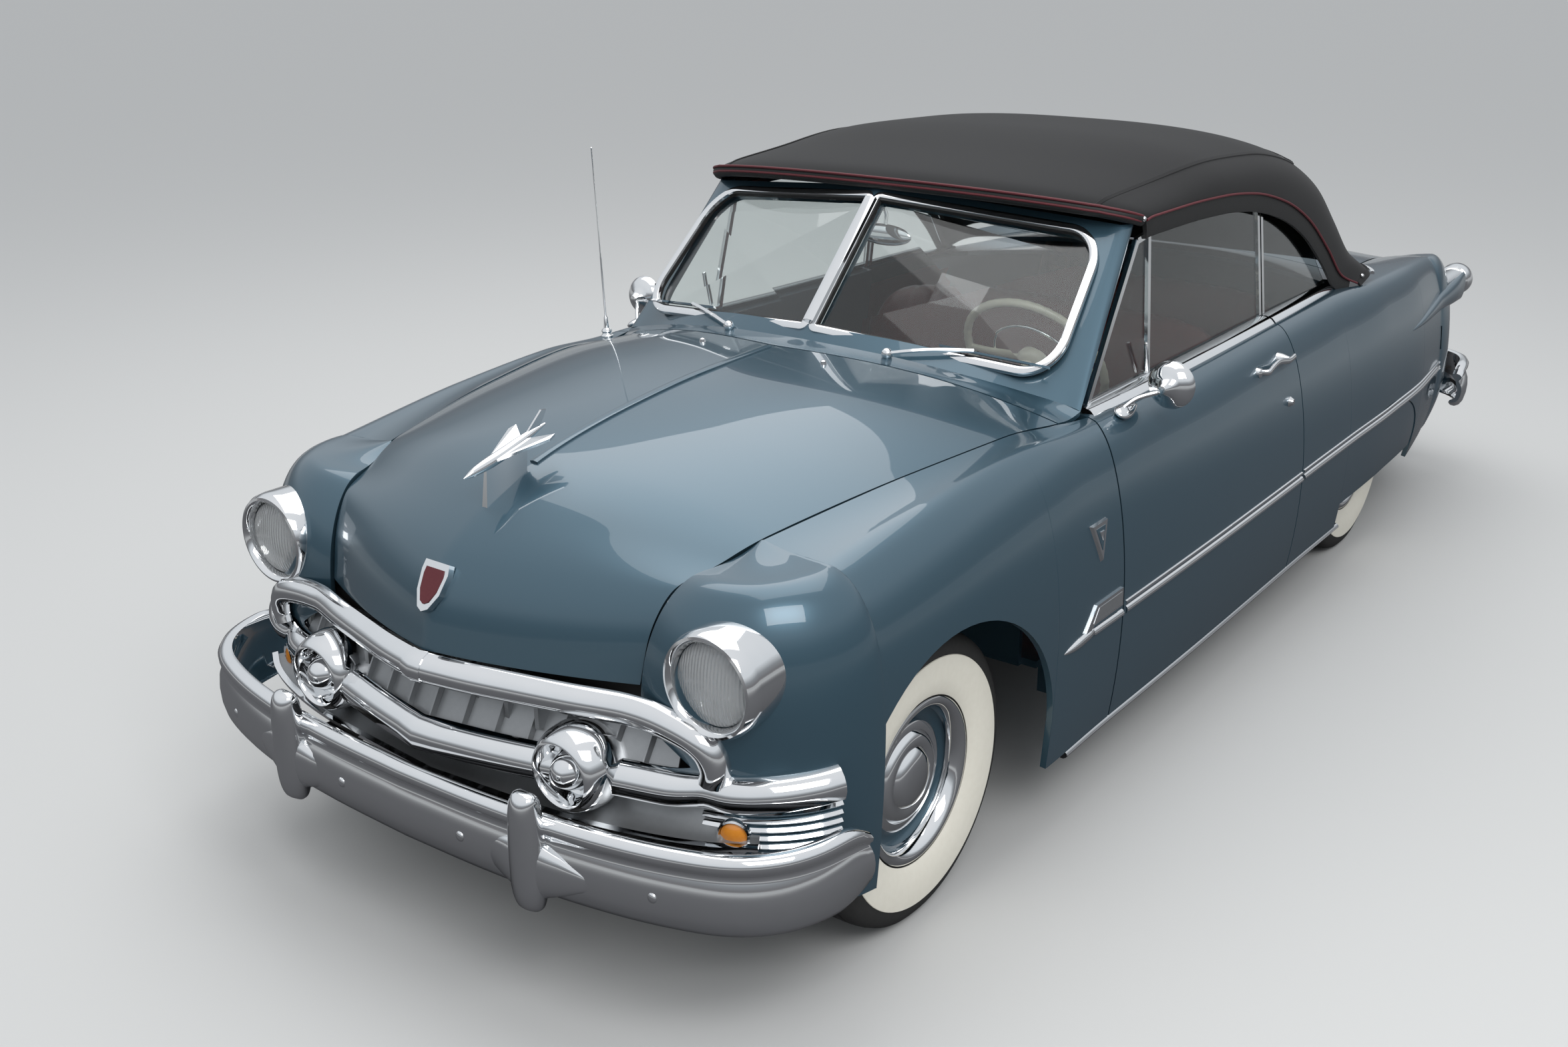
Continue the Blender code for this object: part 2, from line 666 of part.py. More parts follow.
def make_floor():
    """Cabin and trunk floor with the sills and the rear seat bulkhead, joined as in the real tub."""
    sill_in, sill_low, sill_top = 0.690, 0.235, 0.375
    plate = FLOOR_PLATE
    shapes = [box((-0.705, FIREWALL_Y, FLOOR_Z), (0.705, KICK_UP_Y + plate, FLOOR_Z + plate)),
              box((-0.58, KICK_UP_Y, FLOOR_Z + 0.001), (0.58, KICK_UP_Y + plate - 0.001, TRUNK_FLOOR_Z + plate - 0.001)),
              box((-0.60, KICK_UP_Y + 0.002, TRUNK_FLOOR_Z), (0.60, 2.240, TRUNK_FLOOR_Z + plate))]
    for side in (1, -1):
        low_x, high_x = sorted((side * sill_in, side * SILL_OUT))
        shapes.append(box((low_x, DOOR_FRONT_Y, sill_low), (high_x, DOOR_REAR_Y + 0.40, sill_top)))
    return joined("floor_pan", shapes, "body_paint")


def make_firewall():
    """Upright wall between the engine bay and the cabin."""
    wall = 0.015
    return finish("firewall", box((-0.66, FIREWALL_Y - wall - SEAT_GAP, FLOOR_Z),
                                  (0.66, FIREWALL_Y - SEAT_GAP, 0.940)), "body_paint")


TOP_ROWS = [
    # centre_y, centre_z, edge_x, edge_y, edge_z
    (-0.625, 1.515, 0.700, -0.470, 1.452),
    (-0.250, 1.565, 0.712, -0.150, 1.456),
    (0.200, 1.588, 0.716, 0.180, 1.450),
    (0.550, 1.575, 0.722, 0.430, 1.420),
    (0.830, 1.510, 0.735, 0.600, 1.330),
    (0.990, 1.380, 0.750, 0.700, 1.190),
    (1.075, 1.210, 0.765, 0.780, 1.070),
    (1.150, 1.045, 0.770, 0.830, 1.006),
]


def make_soft_top():
    power = 2 / 2.7

    def surface(grow):
        def point(u, v):
            centre_y, centre_z, edge_x, edge_y, edge_z = smooth_step_rows(TOP_ROWS, u * (len(TOP_ROWS) - 1))
            angle = (v - 0.5) * math.pi
            sign = 1 if angle >= 0 else -1
            across = sign * abs(math.sin(angle)) ** power
            height = max(math.cos(angle), 0) ** power
            return Vector(((edge_x + grow) * across, edge_y + (centre_y - edge_y) * height + grow * 0.2 * u,
                           edge_z + (centre_z + grow - edge_z) * height))
        return point

    return finish("soft_top", grid_shell(surface(0.0), surface(-0.014), 12, 16), "top_fabric")


def make_wheel(x, y, name):
    """Tyre and wheel with its hub cap. Distances along the axle grow outwards."""
    side = 1 if x > 0 else -1
    half = TYRE_WIDTH / 2
    rim = RIM_RADIUS
    tyre = [(-0.062, rim), (-half * 0.98, rim + 0.045), (-half, rim + 0.085), (-half * 0.90, TYRE_RADIUS - 0.022),
            (-half * 0.62, TYRE_RADIUS - 0.003), (0, TYRE_RADIUS), (half * 0.62, TYRE_RADIUS - 0.003),
            (half * 0.90, TYRE_RADIUS - 0.022), (half, rim + 0.085), (half * 0.98, rim + 0.045), (0.062, rim)]
    bm = turned([(along * side, radius) for along, radius in tyre], 28, (x, y, DRAWN["wheel_height"]))
    finish("tyre_" + name, bm, "tyre_rubber", 50)
    seat = rim - SEAT_GAP
    bore = SPINDLE_RADIUS + BEARING_CLEARANCE
    disc = [(0.062, 0.0), (0.060, 0.060), (0.050, 0.100), (0.026, 0.128), (0.010, 0.135), (0.014, seat - 0.040),
            (0.072, seat - 0.010), (0.066, seat), (-0.066, seat), (-0.062, seat - 0.016), (-0.014, seat - 0.030),
            (-0.010, 0.070), (-0.035, 0.060), (-0.035, bore), (0.020, bore), (0.020, 0.0)]
    bm = turned([(along * side, radius) for along, radius in disc], 28, (x, y, DRAWN["wheel_height"]))
    finish("wheel_" + name, bm, "chrome", 40)


GLASS_LOW_Z, GLASS_TOP_Z = BELT_Z + SEAT_GAP, 1.432
GLASS_LOW_X, GLASS_TOP_X = 0.744, 0.694
GLASS_THICKNESS = 0.008


def glass_x(z):
    """The side glass leans in towards the top."""
    share = (z - GLASS_LOW_Z) / (GLASS_TOP_Z - GLASS_LOW_Z)
    return GLASS_LOW_X + (GLASS_TOP_X - GLASS_LOW_X) * share


def side_glass(name, outline, side):
    """A flat pane from its outline of y and z, with one face towards the cabin."""
    rings = [[Vector((side * (glass_x(z) - depth), y, z)) for y, z in outline]
             for depth in (0, GLASS_THICKNESS)]
    return finish(name, loft(rings), "glass")


def make_side_glass(side, word):
    door_rear = DOOR_REAR_Y - 0.008
    door_outline = [(-0.815, GLASS_LOW_Z), (door_rear, GLASS_LOW_Z), (door_rear, 1.428),
                    (-0.100, 1.432), (-0.456, 1.420)]
    side_glass("door_glass_" + word, door_outline, side)
    quarter_front, quarter_low = DOOR_REAR_Y + 0.008, GLASS_LOW_Z
    quarter_outline = [(quarter_front, quarter_low), (0.770, quarter_low), (0.745, 1.090), (0.690, 1.200),
                       (0.610, 1.310), (0.520, 1.380), (0.440, 1.415), (quarter_front, 1.428)]
    side_glass("quarter_glass_" + word, quarter_outline, side)


def make_cabin():
    """Dashboard, steering column and wheel, and the two bench seats."""
    dash = [(-0.860, 0.860), (-0.860, 0.930), (-0.790, 0.985), (-0.720, 0.990), (-0.670, 0.965),
            (-0.650, 0.900), (-0.680, 0.800), (-0.760, 0.760), (-0.840, 0.790)]
    rings = [[Vector((x, y, z)) for y, z in dash] for x in (-0.640, 0.640)]
    dashboard = finish("dashboard", loft(rings), "body_paint")

    hub, aim = STEERING_HUB, STEERING_AXIS
    column_radius, clearance = 0.022, 0.003
    finish("steering_column", rod(hub + aim * 0.024, hub + aim * 0.600, column_radius, 12), "ivory")
    hole = rod(hub + aim * 0.10, hub + aim * 0.70, column_radius + clearance, 12)
    boolean(dashboard, cutter(hole, "column_hole"), "DIFFERENCE")
    make_steering_wheel(hub, aim)

    def bench(name, outline, half_width):
        rings = [[Vector((x, y, z)) for y, z in outline] for x in (-half_width, half_width)]
        made = finish(name, loft(rings), "seat_leather")
        bevel = made.modifiers.new("soft_edges", "BEVEL")
        bevel.width = 0.030
        bevel.segments = 2
        return made

    low = FLOOR_Z + FLOOR_PLATE + SEAT_GAP
    bench("front_seat", [(-0.20, low), (-0.24, 0.54), (-0.16, 0.60), (0.16, 0.56), (0.26, 0.98), (0.36, 1.00),
                         (0.43, 0.95), (0.33, 0.42), (0.33, low)], 0.660)
    low = TRUNK_FLOOR_Z + FLOOR_PLATE + SEAT_GAP
    bench("rear_seat", [(0.660, low), (0.650, 0.610), (0.70, 0.660), (0.94, 0.620), (1.02, 0.93), (1.07, 0.955),
                        (1.11, 0.92), (1.06, 0.60), (1.06, low)], 0.540)


STEERING_HUB = Vector((0.370, -0.400, 0.985))
STEERING_AXIS = Vector((0.0, -0.87, -0.49)).normalized()
STEERING_RADIUS = 0.215


def make_steering_wheel(hub, aim):
    """Rim, three spokes and hub as one solid, square to the column."""
    rim_radius, sides = 0.0125, 8
    bm = turned([(rim_radius * math.cos(math.tau * i / sides), STEERING_RADIUS + rim_radius * math.sin(math.tau * i / sides))
                 for i in range(sides)], 28, (0, 0, 0), "Z")
    shapes = [bm, rod((0, 0, -0.018), (0, 0, 0.018), 0.036, 12)]
    for turn in (90, 210, 330):
        end = Matrix.Rotation(math.radians(turn), 3, "Z") @ Vector((STEERING_RADIUS, 0, 0))
        shapes.append(rod((0, 0, 0), end, 0.008, 6))
    turn = aim.to_track_quat("Z", "Y").to_matrix().to_4x4()
    for shape in shapes:
        shape.transform(Matrix.Translation(hub) @ turn)
    return joined("steering_wheel", shapes, "ivory")


BAR_HALF_HEIGHT = 0.040


def make_bumpers():
    """Face bars on their plan curves, with the upright guards and the brackets to the frame."""
    front_path = [(0.918, -2.070), (0.912, -2.170), (0.880, -2.270), (0.800, -2.345), (0.600, -2.414),
                  (0.379, -2.450), (0.0, -2.468)]
    outline = [(0.0, 0.315), (0.022, 0.330), (0.030, 0.410), (0.018, 0.452), (0.026, 0.480),
               (0.0, 0.500), (-0.010, 0.494), (-0.010, 0.320)]
    guard_x, guard_y = 0.379, -2.482
    make_bumper("bumper_front", front_path, outline, guard_x, guard_y, 0.290, 0.560, -1)
    rear_path = [(0.905, 2.130), (0.900, 2.240), (0.860, 2.340), (0.760, 2.400), (0.500, 2.440), (0.0, 2.465)]
    make_bumper("bumper_rear", rear_path, outline, 0.520, 2.482, 0.300, 0.575, 1)


def make_bumper(name, left_path, outline, guard_x, guard_y, guard_low, guard_top, facing):
    path = [Vector((x, y, 0)) for x, y in left_path]
    path += [Vector((-point.x, point.y, 0)) for point in reversed(path[:-1])]
    if facing > 0:
        path.reverse()
    shapes = [sweep(path, outline)]
    rows = [(guard_low, 0.028, 0.016), (guard_low + 0.03, 0.036, 0.032), (guard_low + 0.15, 0.036, 0.036),
            (guard_top - 0.06, 0.032, 0.034), (guard_top - 0.015, 0.028, 0.026), (guard_top, 0.020, 0.012)]
    for side in (1, -1):
        rings = []
        for z, half, nose in rows:
            rings.append([Vector((side * guard_x + half * math.sin(angle), guard_y + nose * math.cos(angle), z))
                          for angle in (math.tau * i / 10 for i in range(10))])
        shapes.append(loft(rings))
        frame_end = FRAME_END_FRONT - SEAT_GAP if facing < 0 else FRAME_END_REAR + SEAT_GAP
        low_y, high_y = sorted((guard_y - facing * 0.045, frame_end))
        shapes.append(box((side * BRACKET_X - 0.03, low_y, 0.345), (side * BRACKET_X + 0.03, high_y, 0.415)))
        low_y, high_y = sorted((frame_end, frame_end + facing * 0.03))
        shapes.append(box((side * BRACKET_X - 0.029, low_y, 0.210), (side * BRACKET_X + 0.029, high_y, 0.400)))
    return joined(name, shapes, "chrome")


FRAME_END_FRONT, FRAME_END_REAR = -2.170, 2.200
BRACKET_X = 0.400


def front_skin(x, z, out):
    """The point of the nose skin at x and z, moved forward by out."""
    low, high = 0.0, float(NOSE_CORNER)
    for _ in range(40):
        station = (low + high) / 2
        share_low, share_high = 0.0, UPPER_SIDE
        for _ in range(30):
            share = (share_low + share_high) / 2
            if body_point(station, share).z < z:
                share_low = share
            else:
                share_high = share
        found = body_point(station, share)
        if found.x < x:
            low = station
        else:
            high = station
    return (x, found.y - out, z)


BAR_STANDOFF = 0.022


def make_grille():
    """Chrome surround, the centre bar with its two bullets, and the ribbed panel behind them."""
    surround = [front_skin(0.670, 0.592, 0.018), front_skin(0.676, 0.618, 0.018), front_skin(0.658, 0.648, 0.018),
                front_skin(0.620, 0.670, 0.018), front_skin(0.560, 0.683, 0.020), (0.480, -2.272, 0.686),
                (0.240, -2.350, 0.692), (0.0, -2.406, 0.698)]
    section = [(0.004, -0.024), (0.020, -0.016), (0.024, 0.0), (0.018, 0.014), (0.0, 0.020), (-0.010, 0.0)]
    rings = []
    full = surround + [(-x, y, z) for x, y, z in reversed(surround[:-1])]
    for i, point in enumerate(full):
        before, after = Vector(full[max(i - 1, 0)]), Vector(full[min(i + 1, len(full) - 1)])
        run = (after - before).normalized()
        ahead = Vector((0, -1, 0))
        ahead = (ahead - run * ahead.dot(run)).normalized()
        up = run.cross(ahead) * (1 if run.cross(ahead).z > 0 else -1)
        if abs(run.z) > 0.9:
            up = Vector((1 if point[0] > 0 else -1, 0, 0))
        rings.append([Vector(point) + ahead * out + up * height for out, height in section])
    finish("grille_surround", loft(rings), "chrome")

    corner = BODY_SECTIONS[NOSE]
    bar_path = []
    for turn, z in ((-24, 0.560), (-38, 0.557), (-52, 0.553), (-65, 0.549), (-77, 0.546)):
        angle = math.radians(turn)
        reach = corner[6] + BAR_STANDOFF
        bar_path.append((corner[2] + reach * math.cos(angle), corner[1] + reach * math.sin(angle), z))
    bar_path += [(0.540, -2.298, 0.545), (0.384, -2.345, 0.545), (0.200, -2.390, 0.545), (0.0, -2.424, 0.545)]
    full = bar_path + [(-x, y, z) for x, y, z in reversed(bar_path[:-1])]
    bar = sweep([Vector(point) for point in full],
                [(-0.012, -0.032), (0.010, -0.028), (0.020, 0.0), (0.010, 0.028), (-0.012, 0.032)])
    shapes = [bar]
    bullet = [(0.0, 0.0), (0.0, 0.060), (0.060, 0.086), (0.105, 0.086), (0.128, 0.070), (0.130, 0.055),
              (0.095, 0.048), (0.120, 0.030), (0.140, 0.0)]
    for side in (1, -1):
        pod = turned(bullet, 16, (0, 0, 0))
        pod.transform(Matrix.Translation((side * 0.384, -2.262, 0.545)) @ Matrix.Rotation(-math.pi / 2, 4, "Z"))
        shapes.append(pod)
    joined("grille_bar", shapes, "chrome")
    make_grille_panel()


def make_grille_panel():
    """The pressed panel at the back of the opening, with its sloping ribs."""
    shapes = [box((-0.470, -2.232, 0.440), (0.470, -2.218, 0.655))]
    for i in range(-3, 4):
        x = i * 0.090
        shapes.append(box((x - 0.006, -2.330, 0.600), (x + 0.006, -2.225, 0.650)))
    return joined("grille_panel", shapes, "grille_silver")


def make_lamps(side, word):
    """Sealed beam headlamp in its deep rim, and the round tail lamp at the fender's end."""
    head = [(-0.120, 0.0), (-0.120, LAMP_RADIUS), (0.075, LAMP_RADIUS), (0.092, 0.104), (0.086, 0.092),
            (0.062, 0.088), (0.074, 0.045), (0.076, 0.0)]
    lamp = turned([(-along, radius) for along, radius in head], LAMP_STEPS,
                  (side * LAMP_X, -2.180, LAMP_Z), "Y")
    finish("headlamp_" + word, lamp, "chrome")
    tail = [(-0.270, 0.0), (-0.270, TAIL_LAMP_RADIUS), (0.0, TAIL_LAMP_RADIUS), (0.004, 0.060), (0.060, 0.062),
            (0.075, 0.056), (0.080, 0.045), (0.100, 0.025), (0.105, 0.0)]
    finish("tail_lamp_" + word, turned(tail, TAIL_LAMP_STEPS, (side * TAIL_LAMP_X, 2.300, TAIL_LAMP_Z), "Y"), "chrome")


MIRROR_BASE = (0.815, -0.750)
MIRROR_HEAD = Vector((0.892, -0.655, 1.057))
MIRROR_RADIUS = 0.062


def skin_above(x, y):
    """Height of the body side's shoulder at x and y."""
    station = station_at(y)
    low, high = LOWER_SIDE, 1.0
    for _ in range(40):
        share = (low + high) / 2
        if body_point(station, share).x > x:
            low = share
        else:
            high = share
    return body_point(station, low).z


def make_mirror(side, word):
    """Round door mirror: teardrop foot on the door top, thin stalk and domed back."""
    x, y = MIRROR_BASE
    foot_z = skin_above(x, y) + SEAT_GAP
    foot = turned([(0.0, 0.0), (0.0, 0.020), (0.008, 0.018), (0.018, 0.008), (0.018, 0.0)], 10, (0, 0, 0), "Z")
    bmesh.ops.scale(foot, verts=foot.verts, vec=(1, 1.7, 1))
    slope = math.atan2(skin_above(x - 0.010, y) - skin_above(x + 0.010, y), 0.020)
    foot.transform(Matrix.Translation((x, y, foot_z + 0.0012)) @ Matrix.Rotation(slope, 4, "Y"))
    back = turned([(-0.004, 0.0), (-0.004, MIRROR_RADIUS), (0.004, MIRROR_RADIUS), (0.020, 0.045), (0.028, 0.016),
                   (0.040, 0.010), (0.044, 0.0)], 16, (0, 0, 0), "Y")
    bmesh.ops.rotate(back, verts=back.verts, matrix=Matrix.Rotation(math.pi, 3, "Z"))
    bmesh.ops.translate(back, verts=back.verts, vec=MIRROR_HEAD)
    joint = MIRROR_HEAD + Vector((0, -0.034, 0))
    shapes = [foot, rod((x, y, foot_z + 0.010), joint, 0.006, 8), back]
    for shape in shapes:
        mirrored(shape, side)
    return joined("mirror_" + word, shapes, "chrome")


def make_antenna():
    """Mast with its round foot on the right front fender."""
    x, y = 0.780, -0.945
    foot_z = skin_above(x, y) + SEAT_GAP + 0.003
    mast = [(0.0, 0.0), (0.0, 0.012), (0.008, 0.015), (0.020, 0.014), (0.030, 0.008), (0.034, 0.0035),
            (0.300, 0.0025), (0.560, 0.0020), (0.560, 0.0)]
    bm = turned(mast, 8, (0, 0, 0), "Z")
    lean = Matrix.Rotation(math.radians(-3), 4, "Y")
    bm.transform(Matrix.Translation((-x, y, foot_z)) @ lean)
    return finish("antenna", bm, "chrome")


def make_hood_ornament():
    """A swept winged dart that stands on the hood's centre line."""
    surface = lid_surface(HOOD_ROWS, PANEL_GAP / 2, end_gaps=(-PANEL_GAP / 2, 0))

    def hood_height(y):
        low, high = 0.0, 1.0
        for _ in range(40):
            middle = (low + high) / 2
            if surface(middle, 0.5).y > y:
                low = middle
            else:
                high = middle
        return surface(low, 0.5).z

    foot = []
    for y, half, rise in ((-2.185, 0.005, 0.085), (-2.160, 0.009, 0.076), (-2.135, 0.010, 0.072), (-2.110, 0.010, 0.068),
                          (-2.085, 0.009, 0.066), (-2.060, 0.005, 0.064)):
        low = hood_height(y) + SEAT_GAP * 2
        foot.append([Vector((-half, y, low)), Vector((half, y, low)), Vector((half * 0.5, y, low + rise)),
                     Vector((-half * 0.5, y, low + rise))])
    dart = []
    for y, z, radius in ((-2.235, 1.074, 0.003), (-2.205, 1.080, 0.011), (-2.150, 1.092, 0.015), (-2.070, 1.112, 0.012),
                         (-1.990, 1.132, 0.003)):
        dart.append([Vector((radius * math.cos(angle), y, z + radius * math.sin(angle)))
                     for angle in (math.tau * i / 8 for i in range(8))])
    shapes = [loft(foot), loft(dart)]
    for side in (1, -1):
        wing = [[Vector((side * 0.004, -2.170, 1.086)), Vector((side * 0.004, -2.060, 1.112)),
                 Vector((side * 0.004, -2.060, 1.117)), Vector((side * 0.004, -2.170, 1.092))],
                [Vector((side * 0.062, -2.055, 1.116)), Vector((side * 0.062, -2.030, 1.122)),
                 Vector((side * 0.062, -2.030, 1.125)), Vector((side * 0.062, -2.055, 1.119))]]
        shapes.append(loft(wing))
    return joined("hood_ornament", shapes, "chrome")


def make_chassis():
    """Ladder frame with its cross members, the engine, axles, tank and exhaust."""
    rail_x, rail_half, rail_low, rail_top = 0.400, 0.035, 0.205, 0.295
    shapes = []
    for side in (1, -1):
        shapes.append(box((side * rail_x - rail_half, FRAME_END_FRONT, rail_low),
                          (side * rail_x + rail_half, FRAME_END_REAR, rail_top)))
    for y in (-2.10, -1.00, -0.30, 0.55, 1.75, 2.15):
        shapes.append(box((-rail_x, y - 0.035, rail_low + 0.004), (rail_x, y + 0.035, rail_low + 0.030)))
    joined("chassis_frame", shapes, "chassis_black")

    finish("engine", box((-0.27, -1.80, 0.360), (0.27, -1.10, 0.850)), "iron")
    cross_y = FRONT_AXLE_Y
    seat_z = rail_top + SEAT_GAP
    shapes = [box((-0.465, cross_y - 0.06, seat_z), (0.465, cross_y + 0.06, seat_z + 0.045))]
    for side in (1, -1):
        shapes.append(box((side * 0.453 - 0.012, cross_y - 0.03, 0.225), (side * 0.453 + 0.012, cross_y + 0.03, 0.47)))
        for z in (0.250, 0.440):
            shapes.append(rod((side * 0.45, cross_y, z), (side * (KINGPIN_X - 0.024), cross_y, z), 0.018, 8))
    joined("front_suspension", shapes, "chassis_black")

    axle_z = DRAWN["wheel_height"]
    shapes = [rod((-0.60, REAR_AXLE_Y, axle_z), (0.60, REAR_AXLE_Y, axle_z), 0.036, 12),
              turned([(-0.12, 0.0), (-0.11, 0.07), (-0.04, 0.13), (0.04, 0.13), (0.11, 0.07), (0.12, 0.0)], 14,
                     (0, REAR_AXLE_Y, axle_z))]
    tip = DRAWN["track"] / 2 + 0.018
    for side in (1, -1):
        shapes.append(rod((side * 0.58, REAR_AXLE_Y, axle_z), (side * tip, REAR_AXLE_Y, axle_z), SPINDLE_RADIUS, 16))
        shapes.append(rod((side * 0.605, REAR_AXLE_Y, axle_z), (side * 0.645, REAR_AXLE_Y, axle_z), 0.135, 16))
        shapes.append(box((side * 0.50 - 0.03, REAR_AXLE_Y - 0.60, 0.302), (side * 0.50 + 0.03, REAR_AXLE_Y + 0.62, 0.320)))
    shapes.append(rod((0, REAR_AXLE_Y - 0.05, 0.300), (0, -1.050, 0.272), 0.020, 8))
    joined("rear_axle", shapes, "chassis_black")

    tank = finish("fuel_tank", box((-0.340, 1.800, rail_top + SEAT_GAP), (0.340, 2.110, 0.490)), "chassis_black", 40)
    bevel = tank.modifiers.new("soft_edges", "BEVEL")
    bevel.width = 0.025
    bevel.segments = 2
    pipe_z = 0.155
    shapes = [rod((0.30, -1.05, pipe_z), (0.30, 2.36, pipe_z), 0.022, 10),
              rod((0.30, -0.45, pipe_z), (0.30, 0.15, pipe_z), 0.048, 12)]
    joined("exhaust", shapes, "iron")


KINGPIN_X = 0.640


def make_knuckle(side, word):
    """Upright with its spindle and brake drum backing plate, turning about the kingpin."""
    y, z = FRONT_AXLE_Y, DRAWN["wheel_height"]
    tip = DRAWN["track"] / 2 + 0.018
    shapes = [rod((side * KINGPIN_X, y, 0.235), (side * KINGPIN_X, y, 0.455), 0.022, 12),
              rod((side * KINGPIN_X, y, z), (side * tip, y, z), SPINDLE_RADIUS, 16),
              rod((side * 0.650, y, z), (side * 0.664, y, z), 0.120, 16)]
    return joined("knuckle_" + word, shapes, "chassis_black")


def main():
    remove_old_objects()
    for side, word in ((1, "left"), (-1, "right")):
        make_fender(side, "fender_" + word)
        make_door(side, "door_" + word)
        make_quarter(side, "quarter_" + word)
        make_skirt(side, "skirt_" + word)
        make_side_glass(side, word)
        make_lamps(side, word)
        make_mirror(side, word)
        make_knuckle(side, word)
        make_wheel(side * DRAWN["track"] / 2, FRONT_AXLE_Y, "front_" + word)
        make_wheel(side * DRAWN["track"] / 2, REAR_AXLE_Y, "rear_" + word)
    make_antenna()
    make_hood()
    make_hood_ornament()
    make_cowl()
    make_windshield()
    make_rear_deck()
    make_trunk_lid()
    make_rear_panel()
    make_soft_top()
    make_floor()
    make_firewall()
    make_cabin()
    make_bumpers()
    make_grille()
    make_chassis()


if __name__ == "__main__":
    main()
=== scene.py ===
"""Looks of the 1950s convertible: panels, trim, glass, cloth top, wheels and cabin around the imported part.

Metres, +Z up, ground at Z = 0. The front of the car points along -Y and its left side is +X.
"""
import math

import bmesh
import bpy
from mathutils import Matrix, Vector


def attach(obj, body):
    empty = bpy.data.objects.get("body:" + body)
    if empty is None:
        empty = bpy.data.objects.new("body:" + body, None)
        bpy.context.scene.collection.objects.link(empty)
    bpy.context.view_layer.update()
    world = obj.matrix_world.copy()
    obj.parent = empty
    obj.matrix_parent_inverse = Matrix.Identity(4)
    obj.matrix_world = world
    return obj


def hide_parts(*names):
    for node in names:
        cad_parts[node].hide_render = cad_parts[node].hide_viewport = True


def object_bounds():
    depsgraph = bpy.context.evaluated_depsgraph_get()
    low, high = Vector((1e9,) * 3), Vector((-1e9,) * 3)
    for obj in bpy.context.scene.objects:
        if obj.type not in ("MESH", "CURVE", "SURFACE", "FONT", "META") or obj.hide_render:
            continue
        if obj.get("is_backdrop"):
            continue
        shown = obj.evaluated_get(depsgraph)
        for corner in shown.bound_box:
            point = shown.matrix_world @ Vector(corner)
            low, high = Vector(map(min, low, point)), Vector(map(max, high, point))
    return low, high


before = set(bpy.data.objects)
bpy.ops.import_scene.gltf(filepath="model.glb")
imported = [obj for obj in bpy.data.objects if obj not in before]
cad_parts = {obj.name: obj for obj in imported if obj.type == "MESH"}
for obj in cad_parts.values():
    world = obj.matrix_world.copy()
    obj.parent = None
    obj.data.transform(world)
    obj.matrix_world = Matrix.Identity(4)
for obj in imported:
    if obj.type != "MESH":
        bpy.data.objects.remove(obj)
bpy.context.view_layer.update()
scene = bpy.context.scene
scene.view_settings.view_transform = "Standard"

# Camera: the photograph looks down a little at the left front corner from about five metres.
# Its place, direction and lens were worked out from points of the car and their mirror images.
CAMERA_PLACE = (2.487, -4.4216, 2.192)
CAMERA_AZIMUTH, CAMERA_DROP, CAMERA_ROLL = 36.873, 20.717, 0.400
LENS_ON_36_MM = 37.07
camera_data = bpy.data.cameras.new("camera")
camera_data.lens = LENS_ON_36_MM
camera_data.sensor_width = 36
camera_data.clip_end = 100
camera = bpy.data.objects.new("camera", camera_data)
scene.collection.objects.link(camera)
scene.camera = camera
azimuth, drop = math.radians(CAMERA_AZIMUTH), math.radians(CAMERA_DROP)
back = Vector((math.sin(azimuth) * math.cos(drop), -math.cos(azimuth) * math.cos(drop), math.sin(drop)))
turn = back.to_track_quat("Z", "Y").to_matrix() @ Matrix.Rotation(math.radians(-CAMERA_ROLL), 3, "Z")
camera.matrix_world = Matrix.Translation(CAMERA_PLACE) @ turn.to_4x4()

# Studio: a floor that is pale to the camera, two wide soft lamps overhead and a sky that darkens towards the
# ground, so that the chrome has something to mirror. Near the car the floor is painted dark in glossy rays
# only, a painted reflection that darkens the paint and chrome where they mirror the floor.
floor_bm = bmesh.new()
FLOOR_RADIUS, FLOOR_PALE, FLOOR_REFLECTED_SHADE = 400, (0.60, 0.60, 0.59, 1), (0.085, 0.085, 0.09, 1)
bmesh.ops.create_circle(floor_bm, cap_ends=True, segments=64, radius=FLOOR_RADIUS)
floor_mesh = bpy.data.meshes.new("studio_floor")
floor_bm.to_mesh(floor_mesh)
floor_bm.free()
studio_floor = bpy.data.objects.new("studio_floor", floor_mesh)
scene.collection.objects.link(studio_floor)
floor_material = bpy.data.materials.new("studio_floor")
floor_material.use_nodes = True
floor_shader = floor_material.node_tree.nodes["Principled BSDF"]
floor_shader.inputs["Roughness"].default_value = 0.9
floor_nodes, floor_links = floor_material.node_tree.nodes, floor_material.node_tree.links
floor_paths = floor_nodes.new("ShaderNodeLightPath")
floor_mix = floor_nodes.new("ShaderNodeMix")
floor_mix.data_type = "RGBA"
floor_mix.inputs["A"].default_value = FLOOR_PALE
floor_mix.inputs["B"].default_value = FLOOR_REFLECTED_SHADE
mirrored_ray = floor_nodes.new("ShaderNodeMath")
mirrored_ray.operation, mirrored_ray.use_clamp = "SUBTRACT", True
floor_place = floor_nodes.new("ShaderNodeTexCoord")
floor_reach = floor_nodes.new("ShaderNodeVectorMath")
floor_reach.operation = "LENGTH"
floor_fade = floor_nodes.new("ShaderNodeMapRange")
floor_fade.interpolation_type = "SMOOTHSTEP"
# Painted reflection: glossy rays see the floor fully dark out to DARK_TO metres, fading to a DARK_LEFT share of
# that dark by PALE_FROM metres.
DARK_TO, PALE_FROM, DARK_LEFT = 3.5, 11.0, 0.15
for socket, value in (("From Min", DARK_TO), ("From Max", PALE_FROM), ("To Min", 1.0), ("To Max", DARK_LEFT)):
    floor_fade.inputs[socket].default_value = value
painted_reflection_share = floor_nodes.new("ShaderNodeMath")
painted_reflection_share.operation = "MULTIPLY"
